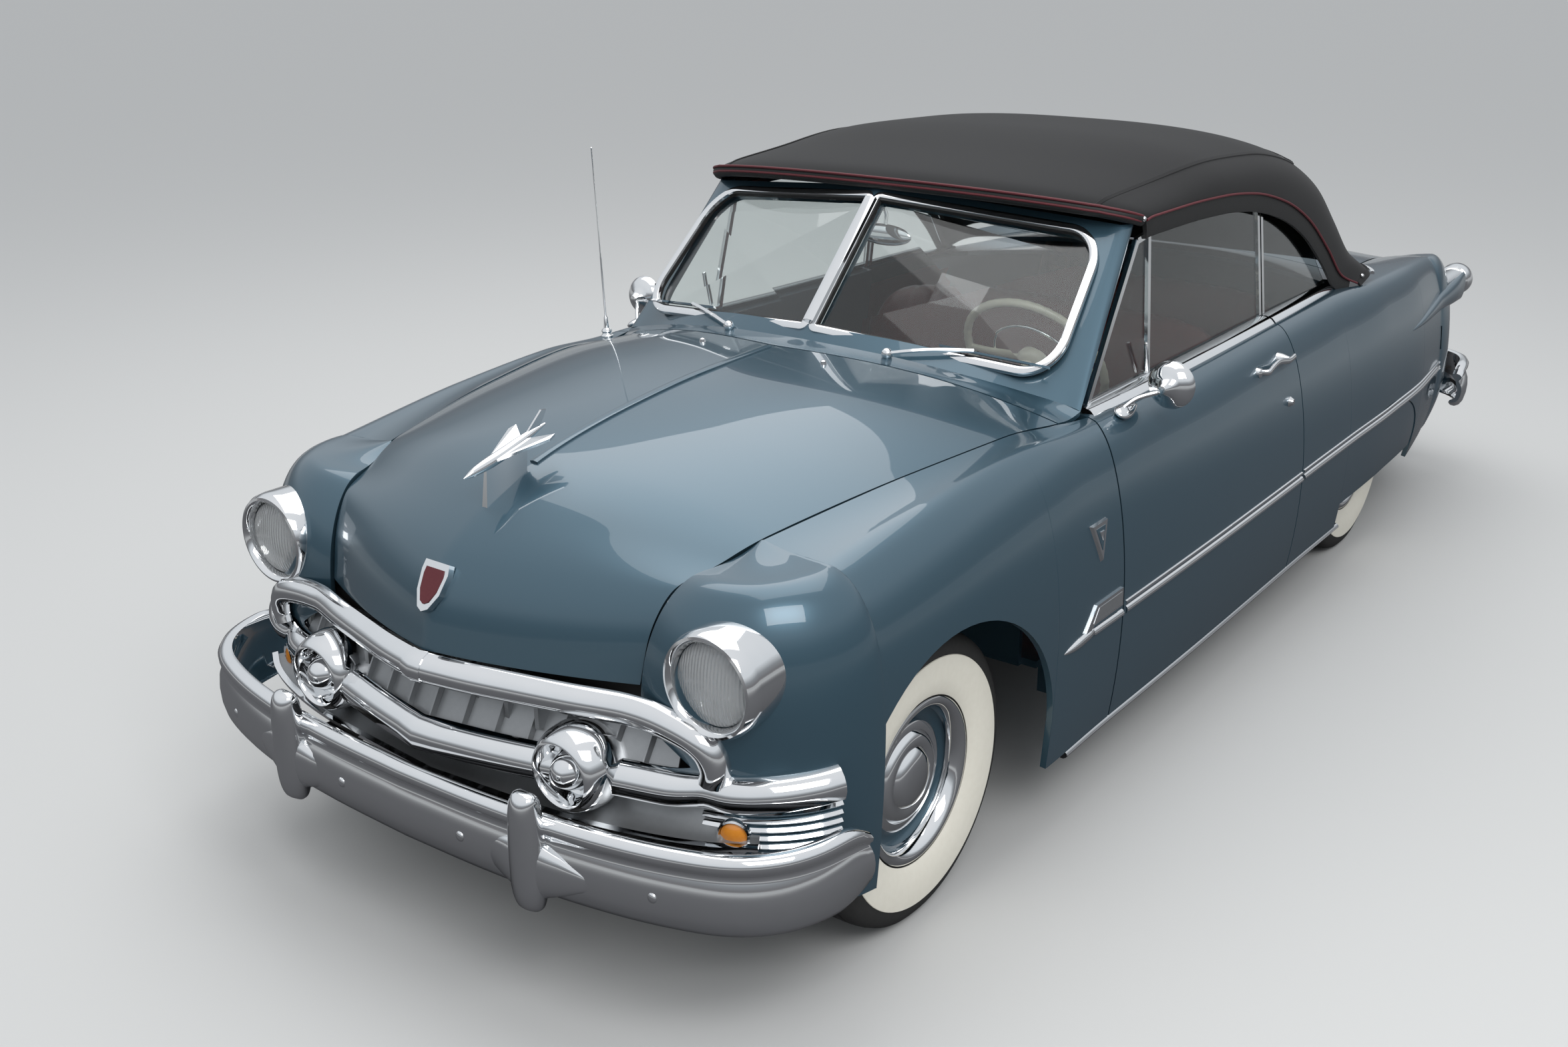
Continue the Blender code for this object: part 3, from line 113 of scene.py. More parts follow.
for source, target in ((floor_paths.outputs["Is Glossy Ray"], mirrored_ray.inputs[0]),
                       (floor_paths.outputs["Is Transmission Ray"], mirrored_ray.inputs[1]),
                       (floor_place.outputs["Object"], floor_reach.inputs[0]),
                       (floor_reach.outputs["Value"], floor_fade.inputs["Value"]),
                       (mirrored_ray.outputs[0], painted_reflection_share.inputs[0]),
                       (floor_fade.outputs["Result"], painted_reflection_share.inputs[1]),
                       (painted_reflection_share.outputs[0], floor_mix.inputs["Factor"]),
                       (floor_mix.outputs["Result"], floor_shader.inputs["Base Color"])):
    floor_links.new(source, target)
floor_mesh.materials.append(floor_material)
studio_floor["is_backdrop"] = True


def soft_lamp(name, place, aim, size, watts):
    """A wide rectangular lamp turned towards a point."""
    data = bpy.data.lights.new(name, "AREA")
    data.shape = "RECTANGLE"
    data.size, data.size_y = size
    data.energy = watts
    lamp = bpy.data.objects.new(name, data)
    scene.collection.objects.link(lamp)
    towards = Vector(aim) - Vector(place)
    lamp.matrix_world = Matrix.Translation(place) @ towards.to_track_quat("-Z", "Y").to_matrix().to_4x4()


soft_lamp("key_lamp", (4.5, -4.0, 5.5), (0, -0.5, 0.5), (4.0, 3.0), 190)
soft_lamp("top_lamp", (-1.0, 0.5, 6.0), (0, 0, 0.6), (5.0, 7.0), 170)
world = bpy.data.worlds.new("studio_sky")
scene.world = world
world.use_nodes = True
sky_nodes, sky_links = world.node_tree.nodes, world.node_tree.links
sky_place = sky_nodes.new("ShaderNodeTexCoord")
sky_split = sky_nodes.new("ShaderNodeSeparateXYZ")
sky_ramp = sky_nodes.new("ShaderNodeValToRGB")
sky_links.new(sky_place.outputs["Generated"], sky_split.inputs[0])
sky_links.new(sky_split.outputs["Z"], sky_ramp.inputs["Fac"])
sky_paths = sky_nodes.new("ShaderNodeLightPath")
sky_mix = sky_nodes.new("ShaderNodeMix")
sky_mix.data_type = "RGBA"
sky_mix.inputs["B"].default_value = (0.56, 0.58, 0.59, 1)
sky_links.new(sky_paths.outputs["Is Camera Ray"], sky_mix.inputs["Factor"])
sky_links.new(sky_ramp.outputs["Color"], sky_mix.inputs["A"])
sky_links.new(sky_mix.outputs["Result"], sky_nodes["Background"].inputs["Color"])
sky_steps = [(0.0, (0.34, 0.34, 0.35, 1)), (0.03, (0.20, 0.20, 0.21, 1)), (0.16, (0.30, 0.32, 0.34, 1)),
             (0.34, (0.80, 0.84, 0.88, 1)), (1.0, (0.95, 0.97, 1.0, 1))]
for place, colour in sky_steps[1:-1]:
    sky_ramp.color_ramp.elements.new(place)
for element, (place, colour) in zip(sky_ramp.color_ramp.elements, sky_steps):
    element.position = place
    element.color = colour
sky_nodes["Background"].inputs["Strength"].default_value = 0.85

# Paint: metallic steel blue under clear coat. A group gives the flake as a fine mottle
# between two tones.


def node_group(name, inputs, outputs):
    """An empty shader group with its named sockets and its input and output nodes."""
    group = bpy.data.node_groups.new(name, "ShaderNodeTree")
    for socket, kind, value in inputs:
        made = group.interface.new_socket(socket, in_out="INPUT", socket_type=kind)
        made.default_value = value
    for socket, kind in outputs:
        group.interface.new_socket(socket, in_out="OUTPUT", socket_type=kind)
    return group, group.nodes.new("NodeGroupInput"), group.nodes.new("NodeGroupOutput")


tint, tint_in, tint_out = node_group(
    "fine_mottle",
    [("Colour", "NodeSocketColor", (1, 1, 1, 1)), ("Second", "NodeSocketColor", (0, 0, 0, 1)),
     ("Scale", "NodeSocketFloat", 40.0), ("Amount", "NodeSocketFloat", 0.1)],
    [("Colour", "NodeSocketColor"), ("Height", "NodeSocketFloat")])
place_node = tint.nodes.new("ShaderNodeTexCoord")
noise_node = tint.nodes.new("ShaderNodeTexNoise")
noise_node.inputs["Detail"].default_value = 4.0
strength_node = tint.nodes.new("ShaderNodeMath")
strength_node.operation = "MULTIPLY"
mix_node = tint.nodes.new("ShaderNodeMix")
mix_node.data_type = "RGBA"
tint.links.new(place_node.outputs["Object"], noise_node.inputs["Vector"])
tint.links.new(tint_in.outputs["Scale"], noise_node.inputs["Scale"])
tint.links.new(noise_node.outputs["Fac"], strength_node.inputs[0])
tint.links.new(tint_in.outputs["Amount"], strength_node.inputs[1])
tint.links.new(strength_node.outputs[0], mix_node.inputs[0])
tint.links.new(tint_in.outputs["Colour"], mix_node.inputs[6])
tint.links.new(tint_in.outputs["Second"], mix_node.inputs[7])
tint.links.new(mix_node.outputs[2], tint_out.inputs["Colour"])
tint.links.new(noise_node.outputs["Fac"], tint_out.inputs["Height"])


def finish_material(name, colour, second, scale, amount, roughness, metallic=0.0, bump=0.0, coat=0.0,
                    coat_roughness=0.03, sheen=0.0, specular=0.5):
    """A Principled material whose colour varies softly between two tones, with an optional grain."""
    made = bpy.data.materials.new(name)
    made.use_nodes = True
    nodes, links = made.node_tree.nodes, made.node_tree.links
    shader = nodes["Principled BSDF"]
    group = nodes.new("ShaderNodeGroup")
    group.node_tree = tint
    group.inputs["Colour"].default_value = (*colour, 1)
    group.inputs["Second"].default_value = (*second, 1)
    group.inputs["Scale"].default_value = scale
    group.inputs["Amount"].default_value = amount
    links.new(group.outputs["Colour"], shader.inputs["Base Color"])
    shader.inputs["Roughness"].default_value = roughness
    shader.inputs["Metallic"].default_value = metallic
    shader.inputs["Coat Weight"].default_value = coat
    shader.inputs["Coat Roughness"].default_value = coat_roughness
    shader.inputs["Sheen Weight"].default_value = sheen
    shader.inputs["Specular IOR Level"].default_value = specular
    if bump:
        height = nodes.new("ShaderNodeBump")
        height.inputs["Strength"].default_value = bump
        height.inputs["Distance"].default_value = 0.001
        links.new(group.outputs["Height"], height.inputs["Height"])
        links.new(height.outputs["Normal"], shader.inputs["Normal"])
    return made


paint = finish_material("steel_blue_paint", (0.046, 0.100, 0.138), (0.062, 0.124, 0.168), 900.0, 0.5,
                        0.34, metallic=0.55, coat=1.0, coat_roughness=0.02)
chrome = finish_material("chrome", (0.86, 0.87, 0.88), (0.74, 0.75, 0.76), 30.0, 0.25, 0.055, metallic=1.0)
rubber = finish_material("black_rubber", (0.012, 0.012, 0.012), (0.03, 0.03, 0.03), 120.0, 0.4, 0.55,
                         bump=0.1)
under_black = finish_material("underbody_black", (0.018, 0.018, 0.018), (0.05, 0.046, 0.042), 14.0, 0.6, 0.6,
                              bump=0.25)
iron = finish_material("cast_iron", (0.13, 0.13, 0.13), (0.20, 0.17, 0.14), 25.0, 0.6, 0.6, metallic=0.6,
                       bump=0.3)

# Body shape: each section runs from the sill up over the shoulder to the seam that it shares
# with the hood, the cabin or the trunk lid, as the stamped panels of the real body do.
# Columns: turn in degrees, y, seam_x, seam_z, crown_out, crown_z, reach, widest_z, sill_out, sill_z and
# the power of the shoulder's curve.
DOOR_FRONT_Y, DOOR_REAR_Y, BELT_Z = -0.900, 0.360, 1.004
FRONT_AXLE_Y, REAR_AXLE_Y, WHEEL_Z, HALF_TRACK = -1.670, 1.226, 0.352, 0.735
PANEL_GAP, SKIN = 0.006, 0.016
SECTIONS = [
    (-108, -1.950, 0.578, 0.976, 0.137, 0.943, 0.306, 0.680, 0.304, 0.664, 2.05),
    (-78, -1.950, 0.578, 0.976, 0.165, 0.950, 0.304, 0.680, 0.290, 0.560, 2.15),
    (-52, -1.950, 0.578, 0.976, 0.180, 0.955, 0.303, 0.670, 0.288, 0.340, 2.20),
    (-26, -1.950, 0.578, 0.976, 0.170, 0.958, 0.304, 0.650, 0.290, 0.265, 2.25),
    (0, -1.950, 0.578, 0.976, 0.150, 0.961, 0.309, 0.620, 0.292, 0.245, 2.25),
    (0, -1.550, 0.660, 1.016, 0.095, 1.001, 0.250, 0.590, 0.232, 0.235, 2.10),
    (0, -1.200, 0.717, 1.028, 0.055, 1.019, 0.201, 0.550, 0.184, 0.225, 2.00),
    (0, DOOR_FRONT_Y, 0.742, BELT_Z, 0.052, BELT_Z, 0.178, 0.520, 0.157, 0.225, 1.95),
    (0, -0.300, 0.763, BELT_Z, 0.026, BELT_Z, 0.162, 0.500, 0.141, 0.225, 1.90),
    (0, DOOR_REAR_Y, 0.758, BELT_Z, 0.028, BELT_Z, 0.164, 0.500, 0.143, 0.225, 1.85),
    (0, 0.800, 0.742, BELT_Z, 0.046, BELT_Z, 0.178, 0.500, 0.160, 0.225, 1.85),
    (0, 1.250, 0.675, 0.978, 0.125, 0.984, 0.245, 0.500, 0.223, 0.230, 1.90),
    (0, 1.650, 0.632, 0.955, 0.158, 0.968, 0.276, 0.500, 0.248, 0.245, 1.90),
    (0, 1.950, 0.600, 0.922, 0.175, 0.948, 0.280, 0.500, 0.245, 0.270, 1.95),
    (30, 1.950, 0.600, 0.915, 0.195, 0.942, 0.308, 0.510, 0.262, 0.290, 2.10),
    (60, 1.950, 0.600, 0.905, 0.210, 0.915, 0.360, 0.520, 0.315, 0.300, 2.20),
    (90, 1.950, 0.600, 0.900, 0.200, 0.895, 0.380, 0.530, 0.335, 0.310, 2.30),
]
NOSE_CORNER, TAIL_CORNER, TAIL = 4, 13, 16
LOWER_SIDE, UPPER_SIDE = 0.30, 0.85


def eased(rows, s):
    """Columns of a table between its rows, with no overshoot, at row number s."""
    last = len(rows) - 1
    s = min(max(s, 0.0), float(last))
    i = min(int(s), last - 1)
    t = s - i

    def slope(k, column):
        """The column's slope at row k, flat at a peak."""
        if k == 0 or k == last:
            near = rows[1][column] - rows[0][column]
            far = rows[last][column] - rows[last - 1][column]
            return near if k == 0 else far
        before = rows[k][column] - rows[k - 1][column]
        after = rows[k + 1][column] - rows[k][column]
        return 0.0 if before * after <= 0 else 2 * before * after / (before + after)

    values = []
    for column in range(len(rows[0])):
        a, b = rows[i][column], rows[i + 1][column]
        values.append(a * (2 * t**3 - 3 * t**2 + 1) + slope(i, column) * (t**3 - 2 * t**2 + t)
                      + b * (3 * t**2 - 2 * t**3) + slope(i + 1, column) * (t**3 - t**2))
    return values


def section_profile(section, share):
    """Distance out from the seam and height, at a share of the way from the sill to the seam."""
    _, _, _, seam_z, crown_out, crown_z, reach, widest_z, sill_out, sill_z, power = section
    if share < LOWER_SIDE:
        t = share / LOWER_SIDE
        return reach - (reach - sill_out) * (1 - t) ** 2, sill_z + (widest_z - sill_z) * t
    if share < UPPER_SIDE:
        angle = (share - LOWER_SIDE) / (UPPER_SIDE - LOWER_SIDE) * math.pi / 2
        return (crown_out + (reach - crown_out) * math.cos(angle) ** (2 / power),
                widest_z + (crown_z - widest_z) * math.sin(angle) ** (2 / power))
    t = (share - UPPER_SIDE) / (1 - UPPER_SIDE)
    return crown_out * (1 - t), crown_z + (seam_z - crown_z) * t * t


def body_point(station, share, inset=0.0, seam_gap=0.0):
    """A point of the left body side, moved in by inset square to the skin within its section."""
    section = eased(SECTIONS, station)
    out, z = section_profile(section, share)
    if inset:
        out_a, z_a = section_profile(section, max(share - 0.004, 0.0))
        out_b, z_b = section_profile(section, min(share + 0.004, 1.0))
        run = Vector((out_b - out_a, z_b - z_a)).normalized()
        out -= run.y * inset
        z += run.x * inset
    out += seam_gap
    turned_by = math.radians(section[0])
    return Vector((section[2] + out * math.cos(turned_by), section[1] + out * math.sin(turned_by), z))


def station_at(y):
    """The body station on the straight side, between the nose and tail corners, at y."""
    low, high = float(NOSE_CORNER), float(TAIL_CORNER)
    for _ in range(40):
        middle = (low + high) / 2
        if eased(SECTIONS, middle)[1] < y:
            low = middle
        else:
            high = middle
    return (low + high) / 2


def share_at(station, z):
    """How far up the section the height z lies."""
    low, high = 0.0, UPPER_SIDE
    for _ in range(30):
        middle = (low + high) / 2
        if body_point(station, middle).z < z:
            low = middle
        else:
            high = middle
    return low


def side_point(y, z, out=0.0):
    """A point on the skin of the straight left side, moved outwards by out."""
    station = station_at(y)
    return body_point(station, share_at(station, z), inset=-out)


def piece(name, bm, finish, body, smooth=40, sides=(1,), stands_for=None, slot=None):
    """Links the mesh once for each side, with its faces outwards, and rides it on its body.

    Where it takes the place of a node of the part, stands_for is that node's name without its side.
    """
    bmesh.ops.remove_doubles(bm, verts=bm.verts, dist=1e-6)
    bmesh.ops.recalc_face_normals(bm, faces=bm.faces)
    made = []
    for side in sides:
        part = bm.copy()
        if side < 0:
            bmesh.ops.scale(part, verts=part.verts, vec=(-1, 1, 1))
            bmesh.ops.reverse_faces(part, faces=part.faces)
        word = "_left" if side > 0 else "_right"
        own_word = word if len(sides) > 1 else ""
        mesh = bpy.data.meshes.new(name + own_word)
        part.to_mesh(mesh)
        part.free()
        mesh.materials.append(finish)
        mesh.shade_smooth()
        mesh.set_sharp_from_angle(angle=math.radians(smooth))
        shown = bpy.data.objects.new(name + own_word, mesh)
        scene.collection.objects.link(shown)
        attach(shown, body + word if body in ("door", "wheel_front", "wheel_rear") else body)
        if stands_for:
            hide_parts(stands_for + own_word)
        made.append(shown)
    bm.free()
    return made if len(sides) > 1 else made[0]


def shell(outer, inner, columns, rows):
    """A closed sheet between two surfaces, each a function of u and v from 0 to 1."""
    bm = bmesh.new()
    bmesh.ops.create_grid(bm, x_segments=columns, y_segments=rows, size=0.5)
    places = {vert: (vert.co.x + 0.5, vert.co.y + 0.5) for vert in bm.verts}
    made = bmesh.ops.extrude_face_region(bm, geom=bm.verts[:] + bm.edges[:] + bm.faces[:], use_keep_orig=True)
    backs = [item for item in made["geom"] if isinstance(item, bmesh.types.BMVert)]
    for vert in backs:
        vert.co = inner(vert.co.x + 0.5, vert.co.y + 0.5)
    for vert, (u, v) in places.items():
        vert.co = outer(u, v)
    return bm


def side_panel(place, columns, rows, thickness=SKIN):
    """Skin and back of a body side. place gives the station and share at u and v."""
    half = PANEL_GAP / 2

    def outer(u, v):
        return body_point(*place(u, v), seam_gap=half)

    def inner(u, v):
        return body_point(*place(u, v), inset=thickness, seam_gap=half)

    return shell(outer, inner, columns, rows)


BOTH = (1, -1)
DOOR_TOP_SHARE, FENDER_START = 0.93, 0.035
DOOR_FRONT_ROWS = [(0.0, -0.905), (0.3, -0.905), (0.55, -0.904), (0.75, -0.896), (0.93, -0.860)]
ARCH_RADIUS, ARCH_CENTRE_Z, REAR_ARCH_TOP_Z = 0.420, 0.330, 0.560


def door_front_y(share):
    """The gap between fender and door sweeps a little to the rear under the belt."""
    step = 0
    while step < len(DOOR_FRONT_ROWS) - 2 and share > DOOR_FRONT_ROWS[step + 1][0]:
        step += 1
    low, high = DOOR_FRONT_ROWS[step][0], DOOR_FRONT_ROWS[step + 1][0]
    return eased(DOOR_FRONT_ROWS, step + (share - low) / (high - low))[1]


def arch_height(y, axle_y, top_z):
    """Height of the wheel opening's edge at y, or 0 away from it."""
    away = (y - axle_y) / ARCH_RADIUS
    if abs(away) > 1:
        return 0.0
    return ARCH_CENTRE_Z + (top_z - ARCH_CENTRE_Z) * math.sqrt(max(1 - away * away, 0))


def columns_round_arch(first, last, axle_y, count):
    """Stations from first to last, close together where the arch's edge stands steep."""
    ends = [station_at(axle_y - ARCH_RADIUS), station_at(axle_y + ARCH_RADIUS)]
    stations = [first + (ends[0] - first) * i / count for i in range(count)]
    stations.append(ends[0] - 0.0001)
    for i in range(37):
        y = axle_y - ARCH_RADIUS * math.cos(math.pi * i / 36)
        stations.append(station_at(y))
    stations.append(ends[1] + 0.0001)
    stations += [ends[1] + (last - ends[1]) * (i + 1) / count for i in range(count)]
    return stations


# Front fenders: one deep stamping each, from the nose round the headlamp to the door, with the
# edge of the wheel opening rolled inwards.
fender_end = station_at(DOOR_FRONT_Y)
fender_stations = columns_round_arch(FENDER_START, fender_end, FRONT_AXLE_Y, 26)
last_column = len(fender_stations) - 1
BEND_COLUMNS, REAR_COLUMNS = 6, 20


def fender_place(u, v):
    """Station and share: the last columns lean over to the sweep of the door's gap."""
    column = round(u * last_column)
    station = fender_stations[column]
    y = eased(SECTIONS, station)[1]
    arch = arch_height(y, FRONT_AXLE_Y, ARCH_CENTRE_Z + ARCH_RADIUS)
    low = share_at(station, arch) if station > NOSE_CORNER else 0.0
    bend = min(max((column - (last_column - BEND_COLUMNS)) / BEND_COLUMNS, 0), 1)
    share = (low + (1 - low) * v) * (1 - (1 - DOOR_TOP_SHARE) * bend)
    if column > last_column - REAR_COLUMNS:
        rear = station_at(door_front_y(min(share, DOOR_TOP_SHARE)) - PANEL_GAP / 2)
        along = (column - (last_column - REAR_COLUMNS)) / REAR_COLUMNS
        start = fender_stations[last_column - REAR_COLUMNS]
        station = start + (rear - start) * along
    return station, share


ROWS_UP = 36
piece("fender_skin", side_panel(fender_place, last_column, ROWS_UP), paint, "body", sides=BOTH,
      stands_for="fender", slot="body_paint")

# Rear quarters and the skirts that cover the upper half of the rear wheels.
quarter_start = station_at(DOOR_REAR_Y + PANEL_GAP / 2)
quarter_stations = columns_round_arch(quarter_start, float(TAIL), REAR_AXLE_Y, 24)
quarter_last = len(quarter_stations) - 1


def quarter_place(u, v):
    """Station and share from the wheel opening's edge up to the seam."""
    station = quarter_stations[round(u * quarter_last)]
    y = eased(SECTIONS, station)[1]
    low = share_at(station, arch_height(y, REAR_AXLE_Y, REAR_ARCH_TOP_Z)) if station < TAIL_CORNER else 0.0
    return station, low + (1 - low) * v


piece("quarter_skin", side_panel(quarter_place, quarter_last, ROWS_UP), paint, "body", sides=BOTH,
      stands_for="quarter", slot="body_paint")
SKIRT_LOW_Z, SKIRT_GAP, SKIRT_LEAST = 0.305, 0.004, 0.004


def skirt_surface(inset):
    """The skirt's face, moved in by inset, between its low edge and the wheel opening."""
    half_length = ARCH_RADIUS - SKIRT_GAP
    top_z = REAR_ARCH_TOP_Z - SKIRT_GAP

    def point(u, v):
        y = REAR_AXLE_Y - half_length * math.cos(math.pi * u)
        rise = math.sqrt(max(1 - ((y - REAR_AXLE_Y) / half_length) ** 2, 0))
        high = max(ARCH_CENTRE_Z + (top_z - ARCH_CENTRE_Z) * rise, SKIRT_LOW_Z + SKIRT_LEAST)
        z = SKIRT_LOW_Z + (high - SKIRT_LOW_Z) * v
        station = station_at(y)
        placed = body_point(station, share_at(station, z), inset=inset)
        placed.z = z
        return placed

    return point


piece("skirt_skin", shell(skirt_surface(0.0), skirt_surface(SKIN), 48, 10), paint, "body", sides=BOTH,
      stands_for="skirt", slot="body_paint")

# Doors: outer skin, flat top under the glass and the inner side, closed all round.
DOOR_THICKNESS, DOOR_INNER_TOP_X, DOOR_EDGE, DOOR_REAR_TAPER = 0.105, 0.700, 0.012, 0.018
door_end = station_at(DOOR_REAR_Y - PANEL_GAP / 2)


def door_place(u, v):
    """Station and share on the door's skin."""
    share = DOOR_TOP_SHARE * v
    first = station_at(door_front_y(share) + PANEL_GAP / 2)
    return first + (door_end - first) * u, share


def door_inner(u, v):
    """The inner side: it stands in from the sill and leans out to the flat top."""
    station, share = door_place(u, v)
    outer = body_point(station, share)
    low = body_point(station, 0.0)
    low_x, low_z = low.x - DOOR_THICKNESS, low.z + DOOR_EDGE
    swept = door_front_y(DOOR_TOP_SHARE) - door_front_y(share)
    return Vector((low_x + (DOOR_INNER_TOP_X - low_x) * v,
                   outer.y + (DOOR_EDGE + swept) * (1 - u) - DOOR_REAR_TAPER * u,
                   low_z + (BELT_Z - low_z) * v))


def door_outer(u, v):
    """The door's skin, half a gap out from the seam."""
    return body_point(*door_place(u, v), seam_gap=PANEL_GAP / 2)


piece("door_skin", shell(door_outer, door_inner, 40, ROWS_UP), paint, "door", sides=BOTH,
      stands_for="door", slot="body_paint")

# Hood, cowl, deck and trunk lid: crowned lids between the left and right seams.
# Columns: y and z on the centre line, and the station and share where the edge meets the seam.
HOOD_ROWS = [(-1.150, 1.136, 6.85, 1.00), (-1.450, 1.128, 6.00, 1.00), (-1.750, 1.103, 5.00, 1.00),
             (-2.000, 1.060, 4.00, 1.00), (-2.180, 0.995, 0.00, 0.88), (-2.300, 0.920, 0.00, 0.70),
             (-2.360, 0.830, 0.00, 0.52), (-2.388, 0.732, 0.00, 0.362)]
TRUNK_ROWS = [(1.330, 1.020, 11.20, 1.00), (1.650, 1.000, 12.00, 1.00), (1.950, 0.955, 13.00, 1.00),
              (2.170, 0.880, 16.00, 0.88), (2.285, 0.780, 16.00, 0.66), (2.330, 0.670, 16.00, 0.46),
              (2.345, 0.560, 16.00, 0.30)]


def lid_surface(rows, edge_gap=PANEL_GAP / 2, end_gaps=(0.0, 0.0), crown=2.6, crease=0.12, prow=0.5):
    """A crowned surface between the seams, with a crease and a prow on its centre line."""
    edges = []
    for centre_y, centre_z, station, share in rows:
        edge = body_point(station, share)
        edges.append((centre_y, centre_z, edge.x, edge.y, edge.z))

    def point(u, v):
        centre_y, centre_z, edge_x, edge_y, edge_z = eased(edges, u * (len(edges) - 1))
        across = 2 * v - 1
        t = abs(across)
        height = 1 - crease * t - (1 - crease) * t**crown
        forward = 1 - prow * t - (1 - prow) * t * t
        shift = end_gaps[0] * (1 - u) - end_gaps[1] * u
        return Vector(((edge_x - edge_gap) * across, edge_y + (centre_y - edge_y) * forward + shift,
                       edge_z + (centre_z - edge_z) * height))

    return point


def inside(surface, depth):
    """The surface moved down and in, square to itself."""
    def point(u, v):
        u0, u1, v0, v1 = max(u - 0.01, 0), min(u + 0.01, 1), max(v - 0.01, 0), min(v + 0.01, 1)
        along = surface(u1, v) - surface(u0, v)
        square = along.cross(surface(u, v1) - surface(u, v0)).normalized()
        if square.z + abs(square.y) * 0.2 < 0:
            square = -square
        return surface(u, v) - square * depth

    return point


LID_DEPTH = 0.018
deck_rows = [(1.172, 1.024, station_at(1.065), 1.0), (1.240, 1.024, station_at(1.180), 1.0),
             (TRUNK_ROWS[0][0] - PANEL_GAP / 2, TRUNK_ROWS[0][1], TRUNK_ROWS[0][2] - 0.015, 1.0)]
hood_surface = lid_surface(HOOD_ROWS, end_gaps=(-PANEL_GAP / 2, 0))
trunk_surface = lid_surface(TRUNK_ROWS, end_gaps=(PANEL_GAP / 2, 0), crease=0.0, prow=0.0)
deck_surface = lid_surface(deck_rows, crease=0.0, prow=0.0)
for name, surface, depth, columns, rows, body, node in (
        ("hood_skin", hood_surface, LID_DEPTH, 72, 64, "hood", "hood"),
        ("trunk_skin", trunk_surface, LID_DEPTH, 60, 56, "trunk_lid", "trunk_lid"),
        ("deck_skin", deck_surface, SKIN, 12, 56, "body", "rear_deck")):
    piece(name, shell(surface, inside(surface, depth), columns, rows), paint, body, stands_for=node,
          slot="body_paint")

# Windshield: a painted frame with its pillars, welded to the cowl. Two flat panes meet at a
# centre bar, each in a black rubber channel with a bright moulding round it.
PANE_LOW_CENTRE, PANE_LOW_SIDE = Vector((0, -0.990, 1.157)), Vector((0.669, -0.882, 1.102))
PANE_TOP_CENTRE, PANE_TOP_SIDE = Vector((0, -0.685, 1.457)), Vector((0.633, -0.562, 1.399))
PANE_LEAN = Vector((0, 0.70, -0.71))
FRAME_TOP, FRAME_DEPTH, CENTRE_BAR = 1.10, 0.038, 0.030
PILLAR_BULGE_TOP, PILLAR_BULGE_LOW = 0.010, 0.004
FRAME_LOW = [(0.000, -1.022, 1.127), (0.235, -1.000, 1.116), (0.470, -0.955, 1.086), (0.716, -0.876, 1.030),
             (0.753, -0.868, 1.018)]
PILLAR_REAR_TOP = Vector((0.684, -0.478, 1.426))


def pane_point(across, up, depth=0.0):
    """A point on the plane of the left pane; depth is behind the face of the frame."""
    low = PANE_LOW_CENTRE.lerp(PANE_LOW_SIDE, across)
    high = PANE_TOP_CENTRE.lerp(PANE_TOP_SIDE, across)
    return low.lerp(high, up) + PANE_LEAN * depth


def pane_outline(inset, depth, steps=10):
    """The rounded outline of the left pane."""
    wide, tall, square = 0.13, 0.25, 0.01
    low_a, high_a, low_b, high_b = CENTRE_BAR + inset, 1 - inset, inset, 1 - inset
    corners = [(high_a, low_b, -90, wide, tall), (high_a, high_b, 0, wide, tall),
               (low_a, high_b, 90, square, square), (low_a, low_b, 180, square, square)]
    points = []
    for a, b, start, round_a, round_b in corners:
        sign_a = 1 if a == high_a else -1
        sign_b = 1 if b == high_b else -1
        for i in range(steps + 1):
            angle = math.radians(start + 90 * i / steps)
            points.append(pane_point(a - sign_a * round_a + round_a * math.cos(angle),
                                     b - sign_b * round_b + round_b * math.sin(angle), depth))
    return points


def loft(rings, closed=False, ends=True):
    """A skin through rings that have the same number of points, closed on itself or at its ends."""
    bm = bmesh.new()
    made = [[bm.verts.new(point) for point in ring] for ring in rings]
    pairs = list(zip(made, made[1:])) + ([(made[-1], made[0])] if closed else [])
    for first, second in pairs:
        for i in range(len(first)):
            bm.faces.new((first[i - 1], first[i], second[i], second[i - 1]))
    if ends and not closed:
        bm.faces.new(made[0])
        bm.faces.new(made[-1])
    return bm


def moulding(path, section, facing, closed=False):
    """A strip pressed to one section along a path: section holds points as (across, out)."""
    rings = []
    count = len(path)
    for i, point in enumerate(path):
        before = path[i - 1] if closed or i > 0 else path[0]
        after = path[(i + 1) % count] if closed or i < count - 1 else path[-1]
        run = (Vector(after) - Vector(before)).normalized()
        out = Vector(facing[i] if isinstance(facing, list) else facing)
        out = (out - run * out.dot(run)).normalized()
        across = run.cross(out)
        rings.append([Vector(point) + across * a + out * o for a, o in section])
    return loft(rings, closed=closed)


def cut(target, tool_bm):
    """Cuts the target's mesh with a closed tool, as a punch does."""
    tool_mesh = bpy.data.meshes.new("punch")
    bmesh.ops.recalc_face_normals(tool_bm, faces=tool_bm.faces)
    tool_bm.to_mesh(tool_mesh)
    tool_bm.free()
    tool = bpy.data.objects.new("punch", tool_mesh)
    scene.collection.objects.link(tool)
    modifier = target.modifiers.new("cut", "BOOLEAN")
    modifier.operation, modifier.solver, modifier.object = "DIFFERENCE", "EXACT", tool
    bpy.context.view_layer.update()
    cut_mesh = bpy.data.meshes.new_from_object(target.evaluated_get(bpy.context.evaluated_depsgraph_get()))
    target.modifiers.clear()
    target.data = cut_mesh
    bpy.data.objects.remove(tool)


def frame_low(u):
    """The frame's lower edge, from the right pillar at 0 to the left pillar at 1."""
    x, y, z = eased(FRAME_LOW, abs(2 * u - 1) * (len(FRAME_LOW) - 1))
    return Vector((-x if u < 0.5 else x, y, z))


